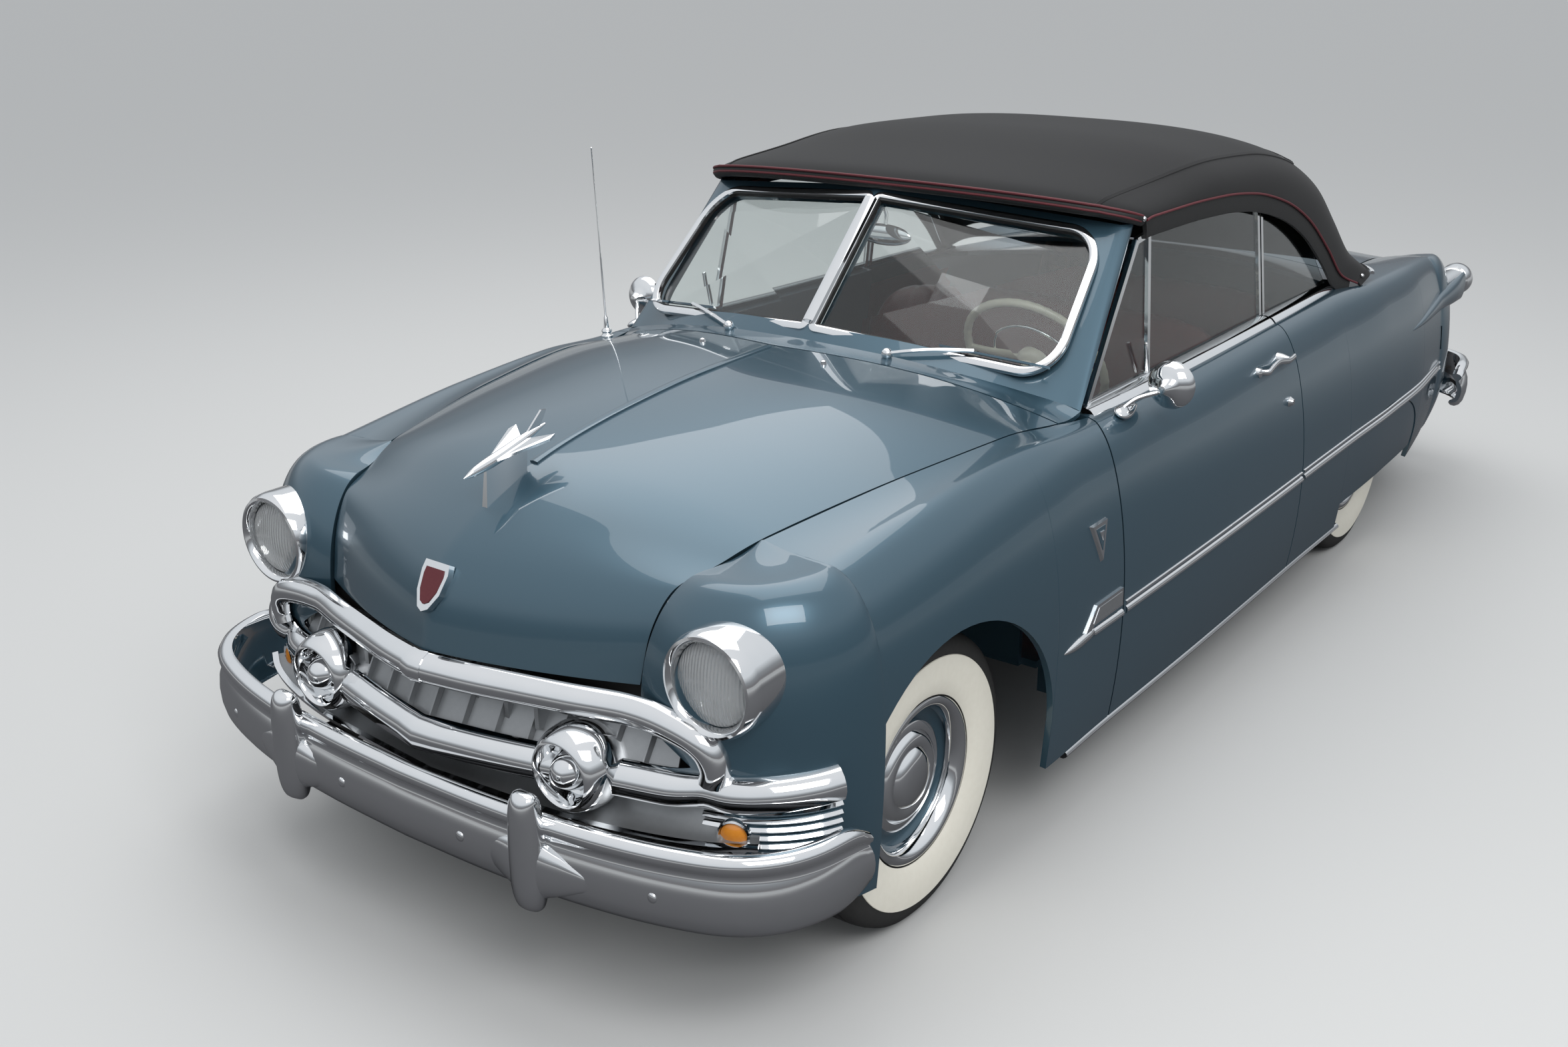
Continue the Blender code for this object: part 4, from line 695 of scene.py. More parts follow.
def frame_face(depth):
    """The frame's face or back: the windshield's plane, turned to the rear round each pillar."""
    def point(u, v):
        away = abs(2 * u - 1) * 4
        side = -1 if u < 0.5 else 1
        low = frame_low(u)
        across = eased([(0.0,), (0.35,), (0.70,), (1.06,)], min(away, 3))[0]
        top = pane_point(across, FRAME_TOP)
        top.x *= side
        if away > 3:
            rear = Vector((PILLAR_REAR_TOP.x * side, PILLAR_REAR_TOP.y, PILLAR_REAR_TOP.z))
            turn_in = math.sin((away - 3) * math.pi / 2)
            top = top.lerp(rear, away - 3)
            top.x += side * PILLAR_BULGE_TOP * math.sin((away - 3) * math.pi)
            low.x += side * PILLAR_BULGE_LOW * math.sin((away - 3) * math.pi)
            thickness = PANE_LEAN * depth * (1 - turn_in) - Vector((side * depth * turn_in, 0, 0))
            return low.lerp(top, v) + thickness
        behind = Vector((0, 1, 0)) if v == 0 else PANE_LEAN
        return low.lerp(top, v) + behind * depth

    return point


frame_bm = shell(frame_face(0.0), frame_face(FRAME_DEPTH), 64, 12)
shield = piece("windshield_surround", frame_bm, paint, "body", smooth=30, stands_for="windshield_frame",
               slot="body_paint")
for side in BOTH:
    rings = [[Vector((p.x * side, p.y, p.z)) for p in pane_outline(0.0, depth)] for depth in (-0.06, 0.10)]
    cut(shield, loft(rings))
shield.data.shade_smooth()
shield.data.set_sharp_from_angle(angle=math.radians(35))
PANE_FACE = Vector((0, -0.70, 0.71))
rubber_ring = [(-0.014, 0.000), (-0.013, 0.005), (-0.002, 0.007), (0.008, 0.004), (0.008, -0.012),
               (-0.014, -0.008)]
bright_ring = [(0.020, 0.001), (0.018, 0.007), (0.008, 0.011), (-0.002, 0.009), (-0.005, 0.001),
               (0.0, -0.010), (0.018, -0.008)]
for name, inset, section, finish in (("windshield_rubber", -0.012, rubber_ring, rubber),
                                     ("windshield_moulding", 0.0, bright_ring, chrome)):
    path = pane_outline(inset, 0.0, steps=14)
    piece(name, moulding(path, section, PANE_FACE, closed=True), finish, "body", sides=BOTH)
bar_path = [pane_point(0, 0.02 + 0.96 * i / 8, -0.004) for i in range(9)]
bar_section = [(-0.020, 0.0), (-0.016, 0.010), (0.0, 0.015), (0.016, 0.010), (0.020, 0.0), (0.0, -0.006)]
piece("centre_bar", moulding(bar_path, bar_section, PANE_FACE), chrome, "body")

# Glass: clear safety glass with a faint green grey tone, as thin as the real panes.
glass = bpy.data.materials.new("clear_glass")
glass.use_nodes = True
glass_nodes, glass_links = glass.node_tree.nodes, glass.node_tree.links
glass_shader = glass_nodes["Principled BSDF"]
glass_shader.inputs["Roughness"].default_value = 0.02
glass_shader.inputs["IOR"].default_value = 1.45
glass_shader.inputs["Transmission Weight"].default_value = 1.0
glass_tone = glass_nodes.new("ShaderNodeGroup")
glass_tone.node_tree = tint
glass_tone.inputs["Colour"].default_value = (0.90, 0.94, 0.93, 1)
glass_tone.inputs["Second"].default_value = (0.84, 0.88, 0.88, 1)
glass_tone.inputs["Scale"].default_value = 3.0
glass_tone.inputs["Amount"].default_value = 0.5
glass_links.new(glass_tone.outputs["Colour"], glass_shader.inputs["Base Color"])
for name in ("windshield_glass_left", "windshield_glass_right", "door_glass_left", "door_glass_right",
             "quarter_glass_left", "quarter_glass_right"):
    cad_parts[name].material_slots[0].material = glass

# Cowl: the painted panel between the hood and the windshield, with a soft hollow along it.
COWL_HOLLOW = 0.006
hood_top = lid_surface(HOOD_ROWS)


def cowl_surface(u, v):
    """The cowl from the hood's rear edge at 0 to the windshield frame at 1."""
    front = hood_top(0.0, v)
    front.y += PANEL_GAP / 2
    point = front.lerp(frame_low(v), u)
    point.z -= COWL_HOLLOW * math.sin(math.pi * u)
    return point


def cowl_back(u, v):
    """The underside of the cowl, drawn forward under the windshield."""
    return cowl_surface(u, v) + Vector((0, -0.004 * u, -0.012))


piece("cowl_skin", shell(cowl_surface, cowl_back, 12, 64), paint, "body", stands_for="cowl",
      slot="body_paint")

# Wipers: chrome pivots on the cowl, slim arms that lie across the lower moulding, slim blades.
arm_section = [(-0.006, 0.0), (-0.004, 0.004), (0.004, 0.004), (0.006, 0.0), (0.0, -0.003)]
blade_section = [(-0.003, 0.0), (0.0, 0.006), (0.003, 0.0), (0.001, -0.008), (-0.001, -0.008)]


def ball(radius, place, segments, rows, stretch=(1, 1, 1)):
    """A sphere, or an egg where it is stretched."""
    bm = bmesh.new()
    bmesh.ops.create_uvsphere(bm, u_segments=segments, v_segments=rows, radius=radius)
    bmesh.ops.scale(bm, verts=bm.verts, vec=stretch)
    bmesh.ops.translate(bm, verts=bm.verts, vec=place)
    return bm


for side, word in ((1, "left"), (-1, "right")):
    pivot = Vector((0.262 * side, -1.006, 1.122))
    knee = pane_point(0.70, 0.035, -0.016)
    tip_a, tip_b = pane_point(0.56, 0.030, -0.014), pane_point(1.0, 0.030, -0.014)
    for point in (knee, tip_a, tip_b):
        point.x *= side
    piece("wiper_pivot_" + word, ball(0.015, pivot, 20, 12), chrome, "body")
    rise = Vector((0, -0.006, 0.007))
    arm = [pivot.lerp(knee, i / 10) + rise * math.sin(math.pi * i / 10) for i in range(11)]
    piece("wiper_arm_" + word, moulding(arm, arm_section, PANE_FACE), chrome, "body")
    blade = [tip_a.lerp(tip_b, i / 8) for i in range(9)]
    piece("wiper_blade_" + word, moulding(blade, blade_section, PANE_FACE), chrome, "body")

# Belt mouldings: wide polished strips along the top of each door and quarter.
GLASS_LOW_X, GLASS_TOP_X, GLASS_TOP_Z = 0.744, 0.694, 1.432


def glass_x(z):
    """The side glass leans in towards the top."""
    return GLASS_LOW_X + (GLASS_TOP_X - GLASS_LOW_X) * (z - BELT_Z) / (GLASS_TOP_Z - BELT_Z)


belt_section = [(-0.030, 0.0), (-0.028, 0.008), (-0.010, 0.014), (0.012, 0.014), (0.026, 0.006),
                (0.028, -0.002), (0.0, -0.002)]
for name, start, stop, body in (("door_belt", -0.845, 0.354, "door"), ("quarter_belt", 0.366, 0.985, "body")):
    path = []
    for i in range(25):
        y = start + (stop - start) * i / 24
        path.append(Vector((body_point(station_at(y), 0.96).x - 0.004, y, BELT_Z + 0.003)))
    piece(name, moulding(path, belt_section, (0.28, 0, 0.96)), chrome, body, sides=BOTH)

# Door and quarter window frames: slim bright channels round the glass, with the division bar of
# the vent window and its latch.
channel = [(-0.008, -0.006), (-0.008, 0.007), (0.008, 0.007), (0.008, -0.006)]
SIDE_TOP = [(-0.487, 1.380), (-0.430, 1.388), (-0.300, 1.393), (-0.100, 1.392), (0.120, 1.382),
            (0.347, 1.364)]
QUARTER_TOP = [(0.372, 1.362), (0.430, 1.353), (0.562, 1.312), (0.694, 1.240), (0.811, 1.153), (0.892, 1.062),
               (0.945, 1.010)]
PANE_HALF = 0.0025
for name, outline, body in (
        ("vent_front_channel", [(-0.815, 1.010), (-0.650, 1.200), SIDE_TOP[0]], "door"),
        ("vent_division_bar", [(-0.455, 1.010), (-0.435, 1.200), (-0.415, 1.388)], "door"),
        ("vent_sill", [(-0.800, 1.020), (-0.620, 1.020), (-0.460, 1.020)], "door"),
        ("door_glass_top", SIDE_TOP, "door"),
        ("door_glass_rear", [(0.346, 1.010), (0.346, 1.220), (0.346, 1.364)], "door"),
        ("quarter_glass_front", [(0.372, 1.010), (0.372, 1.220), (0.372, 1.362)], "body")):
    path = [Vector((glass_x(z) - 0.004, y, z)) for y, z in outline]
    piece(name, moulding(path, channel, (1, 0, 0.1)), chrome, body, sides=BOTH)
for name, outline, body in (("door_glass", [(-0.812, 1.006), (0.346, 1.006)] + SIDE_TOP[::-1], "door"),
                            ("quarter_glass", [(0.945, 1.006), (0.372, 1.006)] + QUARTER_TOP[:-1], "body")):
    rings = [[Vector((glass_x(z) - 0.006 + out, y, z)) for y, z in outline]
             for out in (-PANE_HALF, PANE_HALF)]
    piece(name + "_pane", loft(rings), glass, body, smooth=5, sides=BOTH, stands_for=name, slot="glass")


def block(size, place, tilt=0, rounding=0):
    """A bar or plate, tilted about its own width, with rounded edges."""
    bm = bmesh.new()
    bmesh.ops.create_cube(bm, size=1)
    bmesh.ops.scale(bm, verts=bm.verts, vec=size)
    bmesh.ops.rotate(bm, verts=bm.verts, matrix=Matrix.Rotation(math.radians(tilt), 3, "X"))
    bmesh.ops.translate(bm, verts=bm.verts, vec=place)
    if rounding:
        bmesh.ops.bevel(bm, geom=bm.edges[:], offset=rounding, affect="EDGES", segments=2, profile=0.5,
                        material=-1)
    return bm


latch = block((0.010, 0.012, 0.090), (0.752, -0.490, 1.075), 14, 0.003)
piece("vent_latch", latch, chrome, "door", sides=BOTH)

# Cloth top: one canvas sheet from the header bow to the body behind the seats, seamed along both
# shoulders and over the last bow, with a maroon piping along its edges and a rear window.
canvas = finish_material("black_canvas", (0.009, 0.009, 0.010), (0.020, 0.020, 0.020), 700.0, 0.55, 0.85,
                         bump=0.25, sheen=0.08, specular=0.25)
piping = finish_material("maroon_piping", (0.10, 0.012, 0.018), (0.15, 0.03, 0.035), 200.0, 0.5, 0.55)
# Columns: centre_y, centre_z, edge_x, edge_y, edge_z and squareness.
TOP_ROWS = [
    (-0.676, 1.503, 0.712, -0.470, 1.432, 2.10), (-0.600, 1.524, 0.714, -0.420, 1.438, 2.2),
    (-0.300, 1.550, 0.716, -0.200, 1.437, 2.4), (0.100, 1.574, 0.722, 0.030, 1.430, 2.7),
    (0.450, 1.563, 0.728, 0.250, 1.408, 2.7), (0.780, 1.500, 0.738, 0.480, 1.355, 3.0),
    (0.965, 1.415, 0.748, 0.680, 1.272, 3.1), (1.090, 1.290, 0.760, 0.860, 1.150, 3.3),
    (1.200, 1.140, 0.775, 0.990, 1.040, 3.8), (1.290, 1.038, 0.804, 1.085, 0.999, 5.5),
]
BOW_SPACING, BOW_SAG, LAST_BOW = 1.75, 0.0035, 5.2
SEAM_ACROSS, SEAM_RISE, SEAM_LIFT, CLOTH_THICKNESS = 0.88, 0.0018, 0.0012, 0.004


def top_point(u, v, out=0.0):
    """The cloth: u runs from the header to the rear, v from the right edge to the left edge."""
    place = u * (len(TOP_ROWS) - 1)
    centre_y, centre_z, edge_x, edge_y, edge_z, power = eased(TOP_ROWS, place)
    angle = (v - 0.5) * math.pi
    across = math.copysign(abs(math.sin(angle)) ** (2 / power), angle)
    height = max(math.cos(angle), 0) ** (2 / power)
    sag = BOW_SAG * (math.sin(math.pi * place / BOW_SPACING) ** 2 - 1) * height
    seam = SEAM_RISE * (math.exp(-((abs(across) - SEAM_ACROSS) / 0.012) ** 2) if place < LAST_BOW else 0.0)
    seam += SEAM_RISE * (math.exp(-((place - LAST_BOW) / 0.045) ** 2) if abs(across) < 0.89 else 0.0)
    lift = out + sag + seam
    return Vector(((edge_x + lift * abs(across) ** 3) * across,
                   edge_y + (centre_y - edge_y) * height + lift * u * u,
                   edge_z + (centre_z + lift - edge_z) * height))


def oval(wide, tall, count):
    """Points round an oval section."""
    return [(wide * math.cos(a), tall * math.sin(a)) for a in (math.tau * k / count for k in range(count))]


def lining(u, v):
    """The underside of the cloth."""
    return top_point(u, v, -CLOTH_THICKNESS)


cloth = piece("cloth_top", shell(top_point, lining, 110, 110), canvas, "body", smooth=60,
              stands_for="soft_top", slot="top_fabric")
header_path = [top_point(0, 0.012 + 0.976 * i / 60) for i in range(61)]
header_section = [(-0.009, -0.004), (-0.010, 0.003), (-0.003, 0.007), (0.009, 0.006), (0.017, 0.000),
                  (0.020, -0.012), (0.014, -0.045), (-0.004, -0.045)]
front_face = [Vector((p.x * 0.5, -1, 0.15)) for p in header_path]
piece("header_weatherstrip", moulding(header_path, header_section, front_face), rubber, "body")
cord = oval(0.0036, 0.0036, 10)
for rise, name in ((0.013, "header_piping_upper"), (-0.004, "header_piping_lower")):
    path = [p + Vector((0, -0.007, rise * 0.9)) for p in header_path]
    piece(name, moulding(path, cord, front_face), piping, "body")
SIDEWAYS = Vector((1, 0, 0.1))
edge_path = [top_point(0.012 + 0.976 * i / 80, 1.0) + Vector((0.001, 0, 0.001)) for i in range(81)]
edge_piping = piece("edge_piping", moulding(edge_path, cord, SIDEWAYS), piping, "body", sides=BOTH)
hem_path = [top_point(1.0, i / 60) for i in range(61)]
hem_section = [(-0.009, -0.003), (-0.009, 0.004), (0.009, 0.004), (0.009, -0.003)]
hem_face = [Vector((p.x * 0.6, 1, 0.6)) for p in hem_path]
hem = piece("rear_hem", moulding(hem_path, hem_section, hem_face), canvas, "body")
rail_path = [top_point(0.02 + 0.93 * i / 60, 1.0) for i in range(61)]
rail_section = [(-0.002, -0.016), (-0.002, -0.003), (0.030, -0.004), (0.052, -0.008), (0.052, -0.016)]
piece("roof_rail", moulding(rail_path, rail_section, SIDEWAYS), rubber, "body", sides=BOTH)
seam_section = [(-0.007, -0.001), (-0.005, 0.0020), (0.005, 0.0020), (0.007, -0.001)]
shoulder = math.asin(SEAM_ACROSS ** 1.25) / math.pi + 0.5
seam_path = [top_point(0.004 + 0.571 * i / 60, shoulder, SEAM_LIFT) for i in range(61)]
piece("shoulder_seam", moulding(seam_path, seam_section, Vector((0.55, 0, 1))), canvas, "body", sides=BOTH)
bow_path = [top_point(0.575, 1 - shoulder + (2 * shoulder - 1) * i / 60, SEAM_LIFT) for i in range(61)]
bow_face = [Vector((p.x * 0.5, 0.3, 1)) for p in bow_path]
piece("bow_seam", moulding(bow_path, seam_section, bow_face), canvas, "body")
for name, at in (("header_tip", top_point(0.0, 0.985)), ("hem_tip", top_point(0.985, 0.99)),
                 ("bow_tip", top_point(0.74, 0.80))):
    piece(name, ball(0.0075, at + Vector((0.002, -0.004, 0.004)), 16, 10), chrome, "body", sides=BOTH)


def window_point(u, v, out):
    """A point of the rear window's opening in the cloth."""
    return top_point(0.66 + 0.20 * u, 0.36 + 0.28 * v, out)


def window_pane(out):
    """The pane's face or back, a little smaller than the opening."""
    return lambda u, v: window_point(0.05 + 0.9 * u, 0.04 + 0.92 * v, out)


pane_rim = []
for k in range(64):
    sine, cosine = math.sin(math.tau * k / 64), math.cos(math.tau * k / 64)
    pane_rim.append(window_point(0.5 + 0.5 * math.copysign(abs(sine) ** 0.45, sine),
                                 0.5 + 0.5 * math.copysign(abs(cosine) ** 0.45, cosine), 0.003))
rim_section = [(-0.010, -0.004), (-0.008, 0.004), (0.008, 0.004), (0.010, -0.004)]
rim_bm = moulding(pane_rim, rim_section, Vector((0, 0.75, 0.65)), closed=True)
piece("rear_window_frame", rim_bm, rubber, "body")
smoke = finish_material("smoked_window", (0.10, 0.11, 0.11), (0.13, 0.13, 0.12), 6.0, 0.5, 0.08, coat=0.5)
piece("rear_window", shell(window_pane(0.0015), window_pane(-0.001), 12, 20), smoke, "body")

# Wheels: bias ply tyres with wide whitewalls, steel rims in the body colour, a bright trim ring
# and a stepped hub cap pressed over each centre.
whitewall = finish_material("whitewall_rubber", (0.80, 0.77, 0.68), (0.62, 0.58, 0.48), 60.0, 0.35, 0.55,
                            bump=0.05)
tread = finish_material("tyre_rubber", (0.018, 0.018, 0.018), (0.045, 0.043, 0.040), 90.0, 0.5, 0.75,
                        bump=0.2)


def turned(profile, steps, place, axis="X"):
    """A body of revolution: the profile holds distances along the axis, and radii."""
    bm = bmesh.new()
    verts = [bm.verts.new((along, 0, radius)) for along, radius in profile]
    links = zip(verts, verts[1:] + verts[:1])
    edges = [bm.edges.new(pair) for pair in links if pair[0].co.z > 1e-6 or pair[1].co.z > 1e-6]
    bmesh.ops.spin(bm, geom=verts + edges, cent=(0, 0, 0), axis=(1, 0, 0), angle=math.tau, steps=steps,
                   use_merge=True)
    bmesh.ops.remove_doubles(bm, verts=bm.verts, dist=1e-6)
    if axis == "Y":
        bmesh.ops.rotate(bm, verts=bm.verts, matrix=Matrix.Rotation(math.pi / 2, 3, "Z"))
    elif axis == "Z":
        bmesh.ops.rotate(bm, verts=bm.verts, matrix=Matrix.Rotation(-math.pi / 2, 3, "Y"))
    bmesh.ops.translate(bm, verts=bm.verts, vec=place)
    return bm


def forward(profile):
    """The profile with its distances measured towards the front of the car."""
    return [(-along, radius) for along, radius in profile]


tyre_half = [(0.062, 0.1985), (0.078, 0.215), (0.086, 0.250), (0.088, 0.283), (0.083, 0.315), (0.077, 0.331),
             (0.066, 0.344), (0.050, 0.349), (0.040, 0.3505), (0.038, 0.343), (0.033, 0.343), (0.031, 0.3513),
             (0.013, 0.352), (0.011, 0.344), (0.006, 0.344), (0.004, 0.352)]
tyre_profile = tyre_half + forward(reversed(tyre_half))
white_profile = [(0.0705, 0.2035), (0.0800, 0.2150), (0.0872, 0.2500), (0.0891, 0.2830), (0.0880, 0.3000),
                 (0.0860, 0.3010), (0.0850, 0.2500), (0.0680, 0.2045)]
rim_profile = [(0.060, 0.198), (0.066, 0.190), (0.056, 0.182), (0.030, 0.172), (0.018, 0.160), (0.014, 0.140),
               (0.018, 0.118), (0.012, 0.116), (0.006, 0.140), (0.006, 0.165), (-0.060, 0.176), (-0.066, 0.196),
               (-0.060, 0.198)]
ring_profile = [(0.062, 0.2000), (0.070, 0.1990), (0.0735, 0.1930), (0.0720, 0.1840), (0.062, 0.1740),
                (0.044, 0.1655), (0.034, 0.1640), (0.032, 0.1680), (0.050, 0.1780), (0.060, 0.1920)]
cap_profile = [(0.016, 0.1280), (0.024, 0.1340), (0.032, 0.1320), (0.036, 0.1240), (0.035, 0.1120),
               (0.042, 0.1050), (0.048, 0.0960), (0.049, 0.0840), (0.046, 0.0740), (0.052, 0.0680),
               (0.060, 0.0560), (0.065, 0.0360), (0.067, 0.0), (0.010, 0.0), (0.010, 0.1200)]
for axle, y in (("front", FRONT_AXLE_Y), ("rear", REAR_AXLE_Y)):
    for name, profile, material, steps, node, slot in (
            ("tyre_carcass_", tyre_profile, tread, 96, "tyre_" + axle, "tyre_rubber"),
            ("whitewall_", white_profile, whitewall, 96, None, None),
            ("rim_", rim_profile, paint, 72, None, None),
            ("trim_ring_", ring_profile, chrome, 96, None, None),
            ("hub_cap_", cap_profile, chrome, 80, "wheel_" + axle, "chrome")):
        piece(name + axle, turned(profile, steps, (HALF_TRACK, y, WHEEL_Z)), material, "wheel_" + axle,
              sides=BOTH, stands_for=node, slot=slot)

# Headlamps: a deep bright ring let into each fender, with a ribbed sealed lens over its bowl.
LAMP_AT = (0.676, -2.180, 0.787)
ring = [(-0.120, 0.1140), (0.000, 0.1148), (0.052, 0.1150), (0.074, 0.1130), (0.086, 0.1070), (0.088, 0.1010),
        (0.084, 0.0960), (0.074, 0.0920), (0.064, 0.0900), (0.062, 0.1000), (0.000, 0.1040), (-0.120, 0.1040)]
lens = [(0.062, 0.0890), (0.068, 0.0840), (0.078, 0.0620), (0.084, 0.0340), (0.086, 0.0), (0.080, 0.0),
        (0.062, 0.0800)]
bowl = [(0.058, 0.0890), (0.040, 0.0700), (0.015, 0.0400), (0.004, 0.0), (-0.004, 0.0), (0.008, 0.0440),
        (0.034, 0.0760), (0.052, 0.0900)]
lamp_glass = bpy.data.materials.new("ribbed_lamp_glass")
lamp_glass.use_nodes = True
lamp_nodes, lamp_links = lamp_glass.node_tree.nodes, lamp_glass.node_tree.links
lamp_shader = lamp_nodes["Principled BSDF"]
lamp_shader.inputs["Roughness"].default_value = 0.06
lamp_shader.inputs["Transmission Weight"].default_value = 0.72
lamp_ribs = lamp_nodes.new("ShaderNodeTexWave")
lamp_ribs.inputs["Scale"].default_value = 38.0
lamp_place = lamp_nodes.new("ShaderNodeTexCoord")
lamp_tone = lamp_nodes.new("ShaderNodeValToRGB")
lamp_tone.color_ramp.elements[0].color = (0.90, 0.92, 0.93, 1)
lamp_tone.color_ramp.elements[1].color = (0.96, 0.97, 0.97, 1)
lamp_bump = lamp_nodes.new("ShaderNodeBump")
lamp_bump.inputs["Strength"].default_value = 0.7
lamp_bump.inputs["Distance"].default_value = 0.003
for source, target in ((lamp_place.outputs["Object"], lamp_ribs.inputs["Vector"]),
                       (lamp_ribs.outputs["Fac"], lamp_tone.inputs["Fac"]),
                       (lamp_tone.outputs["Color"], lamp_shader.inputs["Base Color"]),
                       (lamp_ribs.outputs["Fac"], lamp_bump.inputs["Height"]),
                       (lamp_bump.outputs["Normal"], lamp_shader.inputs["Normal"])):
    lamp_links.new(source, target)
reflector = finish_material("lamp_reflector", (0.93, 0.93, 0.90), (0.82, 0.82, 0.80), 30.0, 0.4, 0.30,
                            metallic=0.35)
for name, profile, material, node, slot in (("lamp_ring", ring, chrome, "headlamp", "chrome"),
                                            ("lamp_lens", lens, lamp_glass, None, None),
                                            ("lamp_bowl", bowl, reflector, None, None)):
    piece(name, turned(forward(profile), 80, LAMP_AT, "Y"), material, "body", sides=BOTH, stands_for=node,
          slot=slot)

# Grille: a chromed top bar whose ends turn down beside the lamps, a heavy centre bar with two
# open pods, silver vanes behind, and the ribbed corner pieces with the parking lamps.
silver = finish_material("grille_silver", (0.40, 0.41, 0.42), (0.30, 0.31, 0.32), 80.0, 0.5, 0.38,
                         metallic=0.8)
amber = finish_material("amber_lens", (0.85, 0.28, 0.03), (0.95, 0.45, 0.08), 200.0, 0.5, 0.12, coat=0.8)
NOSE_X, NOSE_Y = 0.578, -1.950
TO_FRONT = Vector((0, -1, 0))


def through(points, steps):
    """A smooth path through points, as many steps between each two."""
    count = (len(points) - 1) * steps
    return [Vector(eased(points, i / steps)) for i in range(count + 1)]


def both_halves(left):
    """A path from the left side over the centre to the right side."""
    return left + [Vector((-p.x, p.y, p.z)) for p in reversed(left[:-1])]


def nose_skin(turn_degrees, z, out):
    """A point on the rounded nose corner in a direction from the corner's centre."""
    angle = math.radians(turn_degrees)
    station = 1.0
    while station < NOSE_CORNER and eased(SECTIONS, station)[0] < turn_degrees:
        station += 0.02
    reach, _ = section_profile(eased(SECTIONS, station), share_at(station, z))
    return (NOSE_X + (reach + out) * math.cos(angle), NOSE_Y + (reach + out) * math.sin(angle), z)


upper = [nose_skin(-72.0, 0.572, 0.020), nose_skin(-71.0, 0.600, 0.020), nose_skin(-72.5, 0.632, 0.020),
         nose_skin(-77.0, 0.660, 0.020), (0.595, -2.272, 0.677), (0.540, -2.276, 0.684), (0.480, -2.284, 0.687),
         (0.360, -2.322, 0.690), (0.240, -2.356, 0.693), (0.120, -2.388, 0.696), (0.0, -2.412, 0.699)]
upper_path = both_halves(through(upper, 5))
upper_face = [Vector((p.x * 0.7, -1, 0)) for p in upper_path]
upper_section = [(-0.028, -0.014), (-0.029, 0.002), (-0.024, 0.014), (-0.012, 0.022), (0.004, 0.023),
                 (0.018, 0.017), (0.029, 0.004), (0.034, -0.014)]
piece("grille_top_bar", moulding(upper_path, upper_section, upper_face), chrome, "body", smooth=50,
      stands_for="grille_surround", slot="chrome")
cap_section = [(a * 1.06, o * 1.06 + 0.001) for a, o in upper_section]
centre_path = [p for p in upper_path if abs(p.x) < 0.026]
piece("grille_cap_band", moulding(centre_path, cap_section, TO_FRONT), chrome, "body", smooth=50)
BAR_STANDOFF = 0.022 - 0.003
bar_points = [nose_skin(turn_by, z, BAR_STANDOFF) for turn_by, z in
              ((-24, 0.560), (-31, 0.5585), (-38, 0.557), (-45, 0.555), (-52, 0.553), (-60, 0.550),
               (-68, 0.548), (-77, 0.546))]
bar_points += [(0.590, -2.285, 0.545), (0.480, -2.316, 0.545), (0.384, -2.343, 0.545), (0.200, -2.388, 0.545),
               (0.0, -2.424, 0.545)]
bar_path = both_halves(through(bar_points, 4))
bar_face = [Vector((p.x - math.copysign(0.55, p.x), p.y - NOSE_Y, 0)) if abs(p.x) > 0.6 else TO_FRONT
            for p in bar_path]
bar_section = [(-0.036, -0.014), (-0.037, 0.004), (-0.029, 0.014), (-0.008, 0.022), (0.006, 0.021),
               (0.022, 0.012), (0.034, -0.004), (0.038, -0.024), (0.030, -0.030), (-0.020, -0.026)]
piece("grille_centre_bar", moulding(bar_path, bar_section, bar_face), chrome, "body", smooth=30,
      stands_for="grille_bar", slot="chrome")
pod = [(-0.010, 0.060), (0.004, 0.078), (0.030, 0.0925), (0.062, 0.0975), (0.092, 0.0945), (0.116, 0.0860),
       (0.129, 0.0770), (0.1310, 0.0710), (0.126, 0.0665), (0.104, 0.0640), (0.084, 0.0600), (0.078, 0.0520),
       (0.088, 0.0470), (0.116, 0.0370), (0.136, 0.0210), (0.143, 0.0), (-0.010, 0.0)]
piece("grille_pod", turned(forward(pod), 72, (0.388, -2.262, 0.556), "Y"), chrome, "body", sides=BOTH)
slope_line = both_halves(through([(0.590, -2.262, 0.612), (0.470, -2.300, 0.612), (0.384, -2.325, 0.612),
                                  (0.0, -2.385, 0.612)], 6))
slope_section = [(0.058, -0.070), (-0.058, 0.000), (-0.060, -0.006), (0.054, -0.076)]
piece("grille_slope", moulding(slope_line, slope_section, TO_FRONT), silver, "body", smooth=60)
for i, x in enumerate((0.0, 0.085, 0.170, 0.255, 0.330, 0.450, 0.520)):
    spot = min(slope_line, key=lambda p: abs(p.x - x))
    fade = spot.y - (spot.x - x) * 0.15
    rings = [[Vector((x + wide, y - nose, z + up)) for wide, nose, up in
              ((-0.004, 0, 0), (0.004, 0, 0), (0.002, 0.008, 0.014), (-0.002, 0.008, 0.014))]
             for y, z in ((fade + 0.068, 0.668), (fade + 0.002, 0.556))]
    piece(f"grille_vane_{i + 1}", loft(rings), silver, "body", sides=BOTH if x else (1,))
back_line = both_halves([Vector((0.60, -2.200, 0.600)), Vector((0.45, -2.215, 0.600)),
                         Vector((0.0, -2.222, 0.600))])
back_section = [(-0.150, 0.0), (0.190, 0.0), (0.190, -0.006), (-0.150, -0.006)]
piece("grille_back", moulding(back_line, back_section, TO_FRONT), under_black, "body")
lower_line = both_halves(through([(0.770, -2.225, 0.440), (0.690, -2.275, 0.440), (0.560, -2.325, 0.440),
                                  (0.380, -2.365, 0.440), (0.0, -2.400, 0.440)], 6))
pan_section = [(0.105, -0.085), (0.060, -0.078), (0.025, -0.058), (0.006, -0.026), (0.004, 0.000),
               (-0.002, 0.002), (-0.004, -0.028), (0.020, -0.064), (0.100, -0.092)]
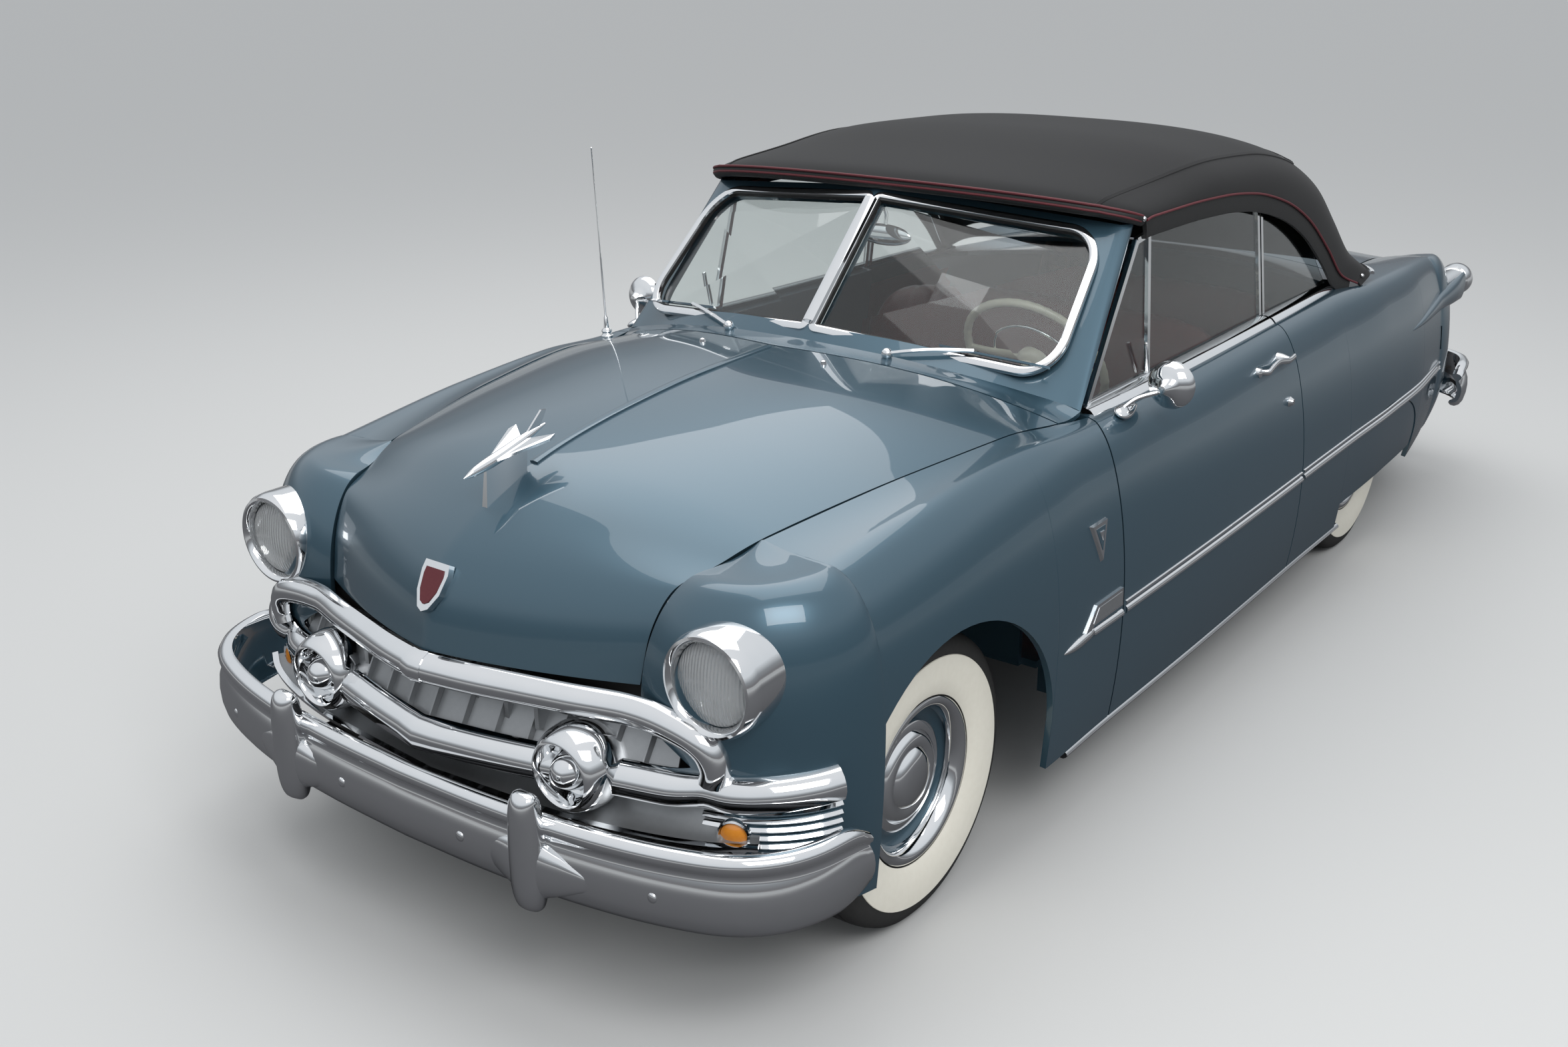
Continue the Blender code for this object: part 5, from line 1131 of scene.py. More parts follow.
lip_section = [(-0.004, -0.004), (0.000, 0.008), (0.010, 0.010), (0.012, -0.004)]
piece("grille_lower_pan", moulding(lower_line, pan_section, TO_FRONT), silver, "body", smooth=60)
piece("grille_lower_lip", moulding(lower_line, lip_section, TO_FRONT), chrome, "body", smooth=60)
rib_section = [(-0.0062, -0.006), (-0.0062, 0.001), (0.0, 0.007), (0.0062, 0.001), (0.0062, -0.006)]
for i, z in enumerate((0.404, 0.424, 0.444, 0.464, 0.484, 0.504)):
    path = [Vector(nose_skin(-78 + 56 * k / 24, z, 0.004)) for k in range(25)]
    rib_face = [Vector((p.x - NOSE_X, p.y - NOSE_Y, 0)) for p in path]
    piece(f"corner_rib_{i + 1}", moulding(path, rib_section, rib_face), chrome, "body", sides=BOTH)
parking_ring = [(-0.020, 0.030), (0.010, 0.0360), (0.018, 0.0350), (0.020, 0.0310), (0.012, 0.0285),
                (0.0, 0.026)]
parking_lens = [(0.0, 0.0280), (0.014, 0.0280), (0.021, 0.0180), (0.024, 0.0), (0.0, 0.0)]
parking_at = Matrix.Translation(nose_skin(-64.5, 0.454, 0.004)) @ Matrix.Rotation(math.radians(22), 4, "Z")
for name, profile, material in (("parking_lamp_ring", parking_ring, chrome),
                                ("parking_lamp_lens", parking_lens, amber)):
    lamp_bm = turned(forward(profile), 40, (0, 0, 0), "Y")
    lamp_bm.transform(parking_at)
    piece(name, lamp_bm, material, "body", sides=BOTH)
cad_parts["grille_panel"].material_slots[0].material = silver

# Bumpers: heavy chromed face bars with a rolled ridge, round headed bolts and upright guards.
bumper_section = [(-0.012, 0.316), (0.000, 0.3145), (0.014, 0.322), (0.024, 0.338), (0.0300, 0.365),
                  (0.0315, 0.395), (0.0285, 0.422), (0.0200, 0.444), (0.0165, 0.452), (0.0180, 0.460),
                  (0.0245, 0.470), (0.0255, 0.482), (0.0180, 0.494), (0.0040, 0.500), (-0.0100, 0.495),
                  (-0.0090, 0.480), (0.0050, 0.450), (0.0150, 0.400), (0.0100, 0.345), (-0.008, 0.330)]
FACE_MIDDLE_Z = 0.405
front_bumper = [(0.918, -2.070), (0.915, -2.130), (0.905, -2.190), (0.880, -2.255), (0.838, -2.310),
                (0.780, -2.352), (0.690, -2.388), (0.560, -2.422), (0.379, -2.450), (0.190, -2.463),
                (0.0, -2.468)]
rear_bumper = [(0.905, 2.130), (0.903, 2.190), (0.895, 2.250), (0.870, 2.315), (0.820, 2.365), (0.730, 2.404),
               (0.600, 2.428), (0.400, 2.450), (0.200, 2.461), (0.0, 2.465)]
wing_rows = [(0.150, 0.012, 0.000), (0.120, 0.026, 0.008), (0.080, 0.045, 0.016), (0.040, 0.060, 0.024)]
for name, points, facing_y, guard_x, low, top in (("front", front_bumper, -1, 0.379, 0.290, 0.560),
                                                  ("rear", rear_bumper, 1, 0.520, 0.300, 0.575)):
    path = both_halves(through([(x, y, 0.0) for x, y in points], 4))
    rings = []
    for i, point in enumerate(path):
        run = (path[min(i + 1, len(path) - 1)] - path[max(i - 1, 0)]).normalized()
        outwards = Vector((-run.y, run.x, 0)) * -facing_y
        if outwards.y * facing_y < 0 and abs(run.x) > 0.2 or abs(run.x) <= 0.2 and outwards.x * point.x < 0:
            outwards = -outwards
        ends = min(i, len(path) - 1 - i)
        shrink = 1 - 0.35 * max(0, 1 - ends / 6) ** 2
        rings.append([point + outwards * out + Vector((0, 0, FACE_MIDDLE_Z + (z - FACE_MIDDLE_Z) * shrink))
                      for out, z in bumper_section])
    piece("bumper_face_" + name, loft(rings), chrome, "body", smooth=45, stands_for="bumper_" + name,
          slot="chrome")
    guard_y = facing_y * 2.482
    guard_rows = [(low, 0.020, 0.010), (low + 0.010, 0.030, 0.022), (low + 0.035, 0.036, 0.030),
                  (low + 0.070, 0.038, 0.034), (low + 0.130, 0.037, 0.036), (low + 0.190, 0.034, 0.036),
                  (top - 0.035, 0.031, 0.033), (top - 0.014, 0.028, 0.027), (top - 0.004, 0.022, 0.018),
                  (top, 0.012, 0.008)]
    rings = [[Vector((guard_x + half_width * 1.12 * math.sin(a),
                      guard_y + facing_y * (nose * max(math.cos(a), -0.6)), z))
              for a in (math.tau * k / 32 for k in range(32))]
             for z, half_width, nose in through(guard_rows, 3)]
    piece("bumper_guard_" + name, loft(rings), chrome, "body", smooth=60, sides=BOTH)
    rings = []
    for away, tall, out in [(-a, t, o) for a, t, o in wing_rows] + wing_rows[::-1]:
        x = guard_x + away
        base_y = facing_y * (2.478 - 0.16 * max(abs(x) - 0.40, 0)) if facing_y < 0 else 2.470
        rings.append([Vector((x, base_y + facing_y * (out * math.cos(a)), 0.385 + tall * math.sin(a)))
                      for a in (math.tau * k / 20 for k in range(20))])
    piece("guard_base_" + name, loft(rings), chrome, "body", smooth=60, sides=BOTH)
    for k, bolt_x in enumerate((0.20, 0.66)):
        spot = min(path, key=lambda p: abs(p.x - bolt_x))
        bolt = ball(0.012, (spot.x, spot.y + facing_y * 0.030, 0.395), 16, 8, (1, 0.5, 1))
        piece(f"bumper_bolt_{name}_{k + 1}", bolt, chrome, "body", sides=BOTH)
    bracket = block((0.055, 0.300, 0.060), (0.400, facing_y * 2.320, 0.380), rounding=0.006)
    piece("bumper_bracket_" + name, bracket, under_black, "body", sides=BOTH)

# Side trim: a double bright strip from the front fender to the tail, split at both door gaps,
# with a spear tip and a bare badge on the fender, and a rocker strip below the doors.
TRIM_Z, SLIM_ABOVE = 0.530, 0.021
wide_strip = [(-0.012, -0.001), (-0.010, 0.004), (-0.004, 0.009), (0.003, 0.0095), (0.009, 0.005),
              (0.012, -0.001)]
slim_strip = [(-0.005, -0.001), (-0.003, 0.005), (0.002, 0.006), (0.005, -0.001)]
OUT = Vector((1, 0, 0))
for name, start, stop, body in (("door_trim", -0.895, 0.352, "door"), ("quarter_trim", 0.368, 2.235, "body"),
                                ("fender_trim", -1.075, -0.914, "body")):
    low = [side_point(start + (stop - start) * i / 40, TRIM_Z - 0.002 * i / 40, 0.002) for i in range(41)]
    piece(name + "_wide", moulding(low, wide_strip, OUT), chrome, body, sides=BOTH)
    if name != "fender_trim":
        high = [side_point(p.y, p.z + SLIM_ABOVE, 0.002) for p in low]
        piece(name + "_slim", moulding(high, slim_strip, OUT), chrome, body, sides=BOTH)
# Columns: y, z, half height and standing out.
spear_rows = [(-1.225, 0.526, 0.001, 0.001), (-1.190, 0.527, 0.009, 0.008), (-1.140, 0.530, 0.014, 0.012),
              (-1.100, 0.533, 0.013, 0.012), (-1.075, 0.534, 0.011, 0.009)]
rings = []
for i in range(25):
    y, z, tall, out = eased(spear_rows, 4 * (i / 24))
    base = side_point(y, z, 0.001)
    rings.append([base + Vector((max(math.cos(a), -0.3) * out, 0, math.sin(a) * tall))
                  for a in (math.tau * k / 20 for k in range(20))])
piece("fender_spear_tip", loft(rings), chrome, "body", sides=BOTH)
badge = [(-1.118, 0.544), (-1.062, 0.600), (-0.918, 0.600), (-0.918, 0.552), (-1.075, 0.552), (-1.098, 0.538)]
badge_plate = [(-1.080, 0.558), (-1.052, 0.591), (-0.926, 0.591), (-0.926, 0.558)]
for name, outline, out, material in (("fender_badge_frame", badge, 0.008, chrome),
                                     ("fender_badge_field", badge_plate, 0.009, silver)):
    rings = [[side_point(y, z, o) for y, z in outline] for o in (-0.001, out)]
    piece(name, loft(rings), material, "body", smooth=20, sides=BOTH)
EMBLEM_Y, EMBLEM_Z = -1.036, 0.776
emblem = [(-1.072, 0.800), (-1.000, 0.800), (-1.036, 0.716)]
for k, (grow, out, front, material) in enumerate(((1.25, 0.012, 0.86, chrome), (0.72, 0.0125, 0.95, paint),
                                                  (0.42, 0.016, 0.6, chrome))):
    rings = [[side_point(EMBLEM_Y + (y - EMBLEM_Y) * grow * taper,
                         EMBLEM_Z + (z - EMBLEM_Z) * grow * taper, o) for y, z in emblem]
             for o, taper in ((-0.001, 1.0), (out, front))]
    piece(f"vee_emblem_{k + 1}", loft(rings), material, "body", smooth=20, sides=BOTH)
rocker_path = [body_point(station_at(-1.140 + 1.990 * i / 30), 0.0) + Vector((-0.003, 0, -0.013))
               for i in range(31)]
rocker_section = [(-0.012, -0.010), (-0.012, 0.000), (-0.006, 0.007), (0.000, 0.009), (0.006, 0.005),
                  (0.010, -0.002), (0.010, -0.010)]
piece("rocker_strip", moulding(rocker_path, rocker_section, OUT), chrome, "body", sides=BOTH)

# Door hardware: a pull handle on two feet and a lock button below it.
foot_a, foot_b = side_point(0.065, 0.925, 0.0), side_point(0.235, 0.930, 0.0)
grip = through([foot_a + Vector((0.002, 0, 0)), foot_a + Vector((0.030, 0.015, 0.003)),
                side_point(0.15, 0.928, 0.034), foot_b + Vector((0.036, 0, 0)),
                foot_b + Vector((0.034, 0.045, 0.002))], 6)
piece("door_handle_grip", moulding(grip, oval(0.010, 0.0065, 14), OUT), chrome, "door", smooth=60, sides=BOTH)
front_foot = [(-0.002, 0.016), (0.010, 0.014), (0.016, 0.006), (0.016, 0.0), (-0.002, 0.0)]
rear_foot = [(-0.002, 0.020), (0.012, 0.018), (0.036, 0.011), (0.036, 0.0), (-0.002, 0.0)]
lock = [(-0.002, 0.015), (0.006, 0.016), (0.012, 0.012), (0.018, 0.009), (0.019, 0.0), (-0.002, 0.0)]
for name, at, profile in (("handle_foot_front", foot_a, front_foot), ("handle_foot_rear", foot_b, rear_foot),
                          ("door_lock", side_point(0.250, 0.800, 0.0), lock)):
    piece(name, turned(profile, 28, at), chrome, "door", sides=BOTH)

# Mirrors: domed round heads on thin stalks that stand on teardrop feet at the front of each door.
MIRROR_HEAD = Vector((0.892, -0.655, 1.057))
head = [(0.022, 0.060), (0.018, 0.063), (0.008, 0.062), (-0.006, 0.052), (-0.016, 0.036), (-0.022, 0.024),
        (-0.038, 0.016), (-0.046, 0.010), (-0.048, 0.0), (0.017, 0.0), (0.019, 0.057)]
face = [(0.0175, 0.057), (0.0200, 0.056), (0.0205, 0.0), (0.0175, 0.0)]
silvered = finish_material("mirror_silver", (0.75, 0.78, 0.80), (0.70, 0.73, 0.76), 3.0, 0.3, 0.02,
                           metallic=1.0)
piece("mirror_head", turned(head, 48, MIRROR_HEAD, "Y"), chrome, "door", sides=BOTH, stands_for="mirror",
      slot="chrome")
piece("mirror_face", turned(face, 48, MIRROR_HEAD, "Y"), silvered, "door", sides=BOTH)
foot = Vector((0.815, -0.750, 0.0))
foot.z = body_point(station_at(foot.y), 0.93).z - 0.002
stalk = through([foot + Vector((0, -0.02, 0.006)), foot + Vector((0.030, 0.015, 0.035)),
                 MIRROR_HEAD + Vector((-0.010, -0.040, -0.008)), MIRROR_HEAD + Vector((0, -0.040, 0))], 6)
stalk_bm = moulding(stalk, oval(0.006, 0.006, 14), Vector((0, 0.3, 1)))
piece("mirror_stalk", stalk_bm, chrome, "door", smooth=60, sides=BOTH)
TEARDROP = (0.020, 0.055, 0.014)
teardrop = ball(1.0, (0, 0, 0), 28, 16, TEARDROP)
for vert in teardrop.verts:
    vert.co.x *= 1 - 0.55 * (vert.co.y / TEARDROP[1])
bmesh.ops.rotate(teardrop, verts=teardrop.verts, matrix=Matrix.Rotation(math.radians(30), 3, "Y"))
bmesh.ops.translate(teardrop, verts=teardrop.verts, vec=foot + Vector((0.008, 0.005, 0.002)))
piece("mirror_foot", teardrop, chrome, "door", smooth=60, sides=BOTH)

# Antenna: a slim mast on a ringed base on the right fender, beside the cowl.
antenna_foot = Vector((-0.780, -0.945, 1.003))
mast = [(0.0, 0.019), (0.005, 0.019), (0.008, 0.015), (0.013, 0.013), (0.018, 0.016), (0.023, 0.014),
        (0.028, 0.008), (0.060, 0.0055), (0.064, 0.0030), (0.240, 0.0028), (0.244, 0.0020), (0.552, 0.0016),
        (0.556, 0.0030), (0.560, 0.0), (0.0, 0.0)]
mast_bm = turned(mast, 20, (0, 0, 0), "Z")
mast_bm.transform(Matrix.Translation(antenna_foot) @ Matrix.Rotation(math.radians(-3), 4, "Y"))
piece("antenna_mast", mast_bm, chrome, "body", stands_for="antenna", slot="chrome")

# Hood: the winged ornament on its keel, the painted centre strip, the bare crest and the washer
# nozzles, all set on the hood's face.
CREST_Z = 0.862


def hood_at(y, x=0.0):
    """A point on the hood at the given y and x."""
    low, high = 0.0, 1.0
    for _ in range(30):
        middle = (low + high) / 2
        if hood_top(middle, 0.5).y > y:
            low = middle
        else:
            high = middle
    return min((hood_top(low, v / 200) for v in range(201)), key=lambda p: abs(p.x - x))


# Columns: y, z, half width and half height.
dart_rows = [(-2.238, 1.073, 0.001, 0.001), (-2.205, 1.080, 0.009, 0.010), (-2.150, 1.091, 0.013, 0.014),
             (-2.090, 1.105, 0.012, 0.014), (-2.040, 1.119, 0.009, 0.011), (-1.990, 1.133, 0.003, 0.003)]
rings = []
for i in range(31):
    y, z, wide, tall = eased(dart_rows, 5 * i / 30)
    rings.append([Vector((x, y, z + up)) for x, up in oval(wide, tall, 20)])
piece("ornament_dart", loft(rings), chrome, "hood", smooth=60, stands_for="hood_ornament", slot="chrome")
wing = [(0.006, -2.165, 1.089), (0.064, -2.040, 1.120), (0.060, -2.020, 1.126), (0.010, -2.055, 1.115)]
rings = [[Vector((x, y, z + up)) for x, y, z in wing] for up in (-0.003, 0.003)]
piece("ornament_wing", loft(rings), chrome, "hood", smooth=20, sides=BOTH)
fin = [(-2.060, 1.115), (-2.000, 1.168), (-1.985, 1.166), (-2.010, 1.128)]
rings = [[Vector((x, y, z)) for y, z in fin] for x in (-0.0025, 0.0025)]
piece("ornament_fin", loft(rings), chrome, "hood", smooth=20)
keel_rows = [(-2.185, 0.010), (-2.120, 0.013), (-2.060, 0.009)]
rings = []
for i in range(13):
    y, wide = eased(keel_rows, 2 * i / 12)
    top_z = eased(dart_rows, 5 * (y + 2.238) / 0.248)[1] - 0.004
    low_z = hood_at(y).z - 0.003
    rings.append([Vector((wide * 0.8, y, low_z)), Vector((0.004, y + 0.01, top_z)),
                  Vector((-0.004, y + 0.01, top_z)), Vector((-wide * 0.8, y, low_z))])
piece("ornament_keel", loft(rings), chrome, "hood")
strip_path = [hood_at(-2.03 + 0.86 * i / 40) + Vector((0, 0, 0.0005)) for i in range(41)]
strip_section = [(-0.013, -0.004), (-0.011, 0.004), (0.0, 0.006), (0.011, 0.004), (0.013, -0.004)]
piece("hood_centre_strip", moulding(strip_path, strip_section, Vector((0, 0, 1))), paint, "hood", smooth=60)
crest_outline = [(-0.036, 0.052), (0.036, 0.052), (0.040, 0.030), (0.034, -0.016), (0.016, -0.050),
                 (0.0, -0.058), (-0.016, -0.050), (-0.034, -0.016), (-0.040, 0.030)]
crest_u = min((i / 400 for i in range(401)), key=lambda u: abs(hood_top(u, 0.5).z - CREST_Z))
crest_at = hood_top(crest_u, 0.5)
below = hood_top(min(crest_u + 0.01, 1.0), 0.5)
above = hood_top(crest_u - 0.01, 0.5)
crest_lean = Matrix.Rotation(math.atan2(above.y - below.y, above.z - below.z), 3, "X").inverted()
for name, grow, out, material in (("crest_frame", 1.0, 0.010, chrome), ("crest_field", 0.72, 0.0120, piping)):
    rings = [[crest_at + crest_lean @ Vector((x * grow, -o - 0.004 * (1 - (x / 0.04) ** 2), z * grow))
              for x, z in crest_outline] for o in (-0.006, out)]
    piece(name, loft(rings), material, "hood", smooth=20)
nozzle = [(0.0, 0.009), (0.010, 0.007), (0.014, 0.0), (0.0, 0.0)]
for side, word in ((1, "left"), (-1, "right")):
    at = hood_at(-1.235, 0.20 * side) + Vector((0, 0, -0.002))
    piece("washer_nozzle_" + word, turned(nozzle, 18, at, "Z"), chrome, "hood")

# Tail: cone lamps that end in a bright ring with a red lens, spears ahead of them, the rear
# panel, a bare plate on the trunk lid, a moulding round the deck and two short marks on each quarter.
red = finish_material("red_lens", (0.45, 0.01, 0.01), (0.60, 0.03, 0.02), 200.0, 0.5, 0.10, coat=0.8)
TAIL_AT = (0.800, 2.300, 0.795)
tail_ring = [(-0.270, 0.0520), (0.000, 0.0520), (0.004, 0.0590), (0.030, 0.0630), (0.060, 0.0630),
             (0.074, 0.0580), (0.078, 0.0520), (0.070, 0.0480), (0.040, 0.0460), (-0.270, 0.0440)]
tail_lens = [(0.050, 0.0465), (0.074, 0.0460), (0.088, 0.0360), (0.099, 0.0220), (0.104, 0.0), (0.050, 0.0)]
piece("tail_lamp_ring", turned(tail_ring, 56, TAIL_AT, "Y"), chrome, "body", sides=BOTH,
      stands_for="tail_lamp", slot="chrome")
piece("tail_lamp_lens", turned(tail_lens, 56, TAIL_AT, "Y"), red, "body", sides=BOTH)
# Columns: y, z, half height and standing out.
tail_rows = [(1.450, 0.768, 0.001, 0.001), (1.600, 0.772, 0.012, 0.010), (1.850, 0.780, 0.028, 0.018),
             (2.100, 0.790, 0.046, 0.022), (2.240, 0.795, 0.055, 0.014)]
rings = []
for i in range(31):
    y, z, tall, out = eased(tail_rows, 4 * i / 30)
    base = side_point(min(y, 2.235), z, 0.0)
    rings.append([base + Vector((max(math.cos(a), -0.2) * out, y - base.y, math.sin(a) * tall))
                  for a in (math.tau * k / 20 for k in range(20))])
piece("tail_spear", loft(rings), paint, "body", smooth=60, sides=BOTH)
mark = [(-0.004, 0.600), (0.004, 0.600), (0.004, 0.690), (-0.004, 0.690)]
for k in (0, 1):
    rings = [[side_point(2.150 + 0.030 * k + dy, z, o) for dy, z in mark] for o in (-0.001, 0.006)]
    piece(f"quarter_mark_{k + 1}", loft(rings), chrome, "body", smooth=20, sides=BOTH)


def rear_surface(u, v):
    """The rear panel between the quarters' ends, bowed to the rear."""
    edge = body_point(TAIL, LOWER_SIDE * v)
    x = (2 * u - 1) * edge.x
    centre_y = 2.345 - 0.06 * (1 - v)
    centre_z = 0.31 + 0.25 * v
    bow = 1 - (x / edge.x) ** 2
    return Vector((x, edge.y + (centre_y - edge.y) * bow, edge.z + (centre_z - edge.z) * bow - 0.006))


def rear_back(u, v):
    """The inner side of the rear panel."""
    return rear_surface(u, v) - Vector((0, 0.012, 0))


piece("rear_panel_skin", shell(rear_surface, rear_back, 64, 12), paint, "body", stands_for="rear_panel",
      slot="body_paint")
plate_white = finish_material("plate_white", (0.62, 0.61, 0.56), (0.55, 0.53, 0.48), 12.0, 0.4, 0.5)
piece("plate_rear", block((0.300, 0.003, 0.150), (0, 2.452, 0.640), 14), plate_white, "trunk_lid")
deck_line = [Vector((p.x * 1.012, p.y + 0.018, p.z - 0.004)) for p in hem_path[4:-4]]
deck_section = [(-0.008, -0.006), (-0.006, 0.004), (0.0, 0.006), (0.006, 0.004), (0.008, -0.006)]
piece("deck_moulding", moulding(deck_line, deck_section, Vector((0, 0, 1))), chrome, "body")

# Seats: two benches in oxblood leather, each a crowned cushion and a back with sewn pleats.
leather = finish_material("oxblood_leather", (0.150, 0.020, 0.018), (0.090, 0.012, 0.012), 26.0, 0.5, 0.42,
                          bump=0.12, coat=0.15)


def round_ring(points, steps):
    """A smooth closed ring through points of a side view."""
    count = len(points)
    ring = []
    for i in range(count * steps):
        k, f = divmod(i / steps, 1)
        p = [Vector(points[(int(k) + d) % count]) for d in (-1, 0, 1, 2)]
        ring.append(0.5 * (2 * p[1] + (p[2] - p[0]) * f + (2 * p[0] - 5 * p[1] + 4 * p[2] - p[3]) * f * f
                           + (3 * p[1] - p[0] - 3 * p[2] + p[3]) * f ** 3))
    return ring


def bench(name, outline, half_width, seams, stands_for=None):
    """A padded seat part: a side view swept across the car, crowned, with grooves at its seams."""
    ring = round_ring(outline, 5)
    centre = sum(ring, Vector((0, 0))) / len(ring)
    rings = []
    for i in range(129):
        x = half_width * math.sin(math.pi / 2 * (2 * i / 128 - 1))
        ends = max(1 - abs(x / half_width) ** 9, 0.02) ** 0.30
        groove = sum(math.exp(-((x - seam) / 0.006) ** 2) for seam in seams)
        crown = 0.010 * math.cos(math.pi * x / (2 * half_width))
        row = []
        for p in ring:
            away = p - centre
            reach = (away.length - 0.010 + crown - 0.006 * groove) / away.length
            row.append(Vector((x, centre.x + away.x * reach * ends, centre.y + away.y * reach * ends)))
        rings.append(row)
    made = piece(name, loft(rings), leather, "body", smooth=70, stands_for=stands_for, slot="seat_leather")


FRONT_HALF, REAR_HALF = 0.655, 0.535
pleats = [-0.50 + 0.10 * i for i in range(11)]
front_cushion = [(-0.195, 0.365), (-0.225, 0.44), (-0.232, 0.53), (-0.200, 0.580), (-0.12, 0.600),
                 (0.02, 0.592), (0.14, 0.562), (0.17, 0.50), (0.17, 0.41), (0.12, 0.360)]
front_back = [(0.165, 0.44), (0.170, 0.56), (0.200, 0.72), (0.235, 0.88), (0.270, 0.960), (0.325, 0.990),
              (0.385, 0.965), (0.400, 0.88), (0.375, 0.72), (0.345, 0.52), (0.325, 0.40), (0.24, 0.37)]
rear_cushion = [(0.658, 0.55), (0.652, 0.60), (0.675, 0.645), (0.75, 0.658), (0.88, 0.640), (0.95, 0.61),
                (0.96, 0.56), (0.90, 0.538), (0.75, 0.535)]
rear_squab = [(0.940, 0.59), (0.962, 0.70), (0.985, 0.82), (1.015, 0.910), (1.055, 0.940), (1.095, 0.918),
              (1.098, 0.85), (1.072, 0.70), (1.055, 0.60), (1.00, 0.565)]
bench("front_seat_cushion", front_cushion, FRONT_HALF, pleats, "front_seat")
bench("front_seat_back", front_back, FRONT_HALF, pleats)
bench("rear_seat_cushion", rear_cushion, REAR_HALF, pleats[1:-1], "rear_seat")
bench("rear_seat_back", rear_squab, REAR_HALF, pleats[1:-1])

# Steering wheel: an ivory rim with finger grips, three spokes, a bright horn ring and a hub cap.
ivory = finish_material("ivory_plastic", (0.72, 0.68, 0.55), (0.66, 0.61, 0.47), 40.0, 0.4, 0.30, coat=0.4)
HUB = Vector((0.370, -0.400, 0.985))
TO_DRIVER = Vector((0, 0.87, 0.49)).normalized()
wheel_turn = Matrix.Translation(HUB) @ TO_DRIVER.to_track_quat("Z", "Y").to_matrix().to_4x4()


def hoop(radius, tube, steps, grip=0.0, round_steps=14):
    """A ring of round section, with finger grips where grip is given."""
    rings = []
    for i in range(steps):
        a = math.tau * i / steps
        thick = tube * (1 + grip * math.cos(44 * a))
        rings.append([Vector(((radius + out) * math.cos(a), (radius + out) * math.sin(a), up))
                      for out, up in oval(thick, thick, round_steps)])
    return loft(rings, closed=True)


def on_wheel(name, bm, material, stands_for=None):
    """Tilts a piece made flat round the hub to the driver and rides it on the steering wheel."""
    bm.transform(wheel_turn)
    piece(name, bm, material, "steering_wheel", smooth=60, stands_for=stands_for, slot="ivory")


on_wheel("steering_rim", hoop(0.215, 0.0122, 264, 0.05), ivory, "steering_wheel")
hub = [(-0.022, 0.0), (-0.022, 0.030), (-0.004, 0.044), (0.012, 0.040), (0.016, 0.0)]
button = [(0.012, 0.030), (0.022, 0.026), (0.028, 0.014), (0.030, 0.0), (0.012, 0.0)]
on_wheel("steering_hub", turned(hub, 40, (0, 0, 0), "Z"), ivory)
on_wheel("horn_button", turned(button, 40, (0, 0, 0), "Z"), chrome)
on_wheel("horn_ring", hoop(0.128, 0.0042, 96, round_steps=10), chrome)
for k, turn_by in enumerate((0, 180, 270)):
    rings = []
    for i in range(13):
        t = i / 12
        rings.append([Vector((0.030 + 0.180 * t, wide, up - 0.006 * math.sin(math.pi * t)))
                      for wide, up in oval(0.017 - 0.006 * t, 0.008, 14)])
    spoke = loft(rings)
    stay = loft([[Vector((0.022 + 0.104 * t, wide, 0.014 * (1 - t) + up))
                  for wide, up in oval(0.0035, 0.0035, 8)] for t in (0, 0.5, 1)])
    for name, bm, material in (("steering_spoke", spoke, ivory), ("horn_stay", stay, chrome)):
        bm.transform(Matrix.Rotation(math.radians(turn_by), 4, "Z"))
        on_wheel(f"{name}_{k + 1}", bm, material)

# Cabin: a painted dashboard with round dials, door and quarter cards, and the inside mirror.
dash_ring = round_ring([(-0.862, 0.850), (-0.862, 0.930), (-0.800, 0.980), (-0.720, 0.988), (-0.672, 0.966),
                        (-0.652, 0.900), (-0.676, 0.810), (-0.760, 0.762), (-0.830, 0.785)], 4)
rings = [[Vector((x, y, z)) for y, z in dash_ring] for x in (-0.64 + 1.28 * i / 32 for i in range(33))]
piece("dash_panel", loft(rings), paint, "body", smooth=50, stands_for="dashboard", slot="body_paint")
for name, x, radius in (("speed_dial", 0.37, 0.062), ("clock_dial", 0.0, 0.042)):
    bezel = [(-0.012, radius + 0.006), (0.006, radius + 0.008), (0.008, radius), (-0.004, radius - 0.003)]
    dial = [(-0.010, radius), (0.000, radius - 0.002), (0.002, 0.0), (-0.010, 0.0)]
    for kind, profile, material in (("bezel", bezel, chrome), ("face", dial, under_black)):
        piece(f"{name}_{kind}", turned(profile, 40, (x, -0.650, 0.895), "Y"), material, "body")
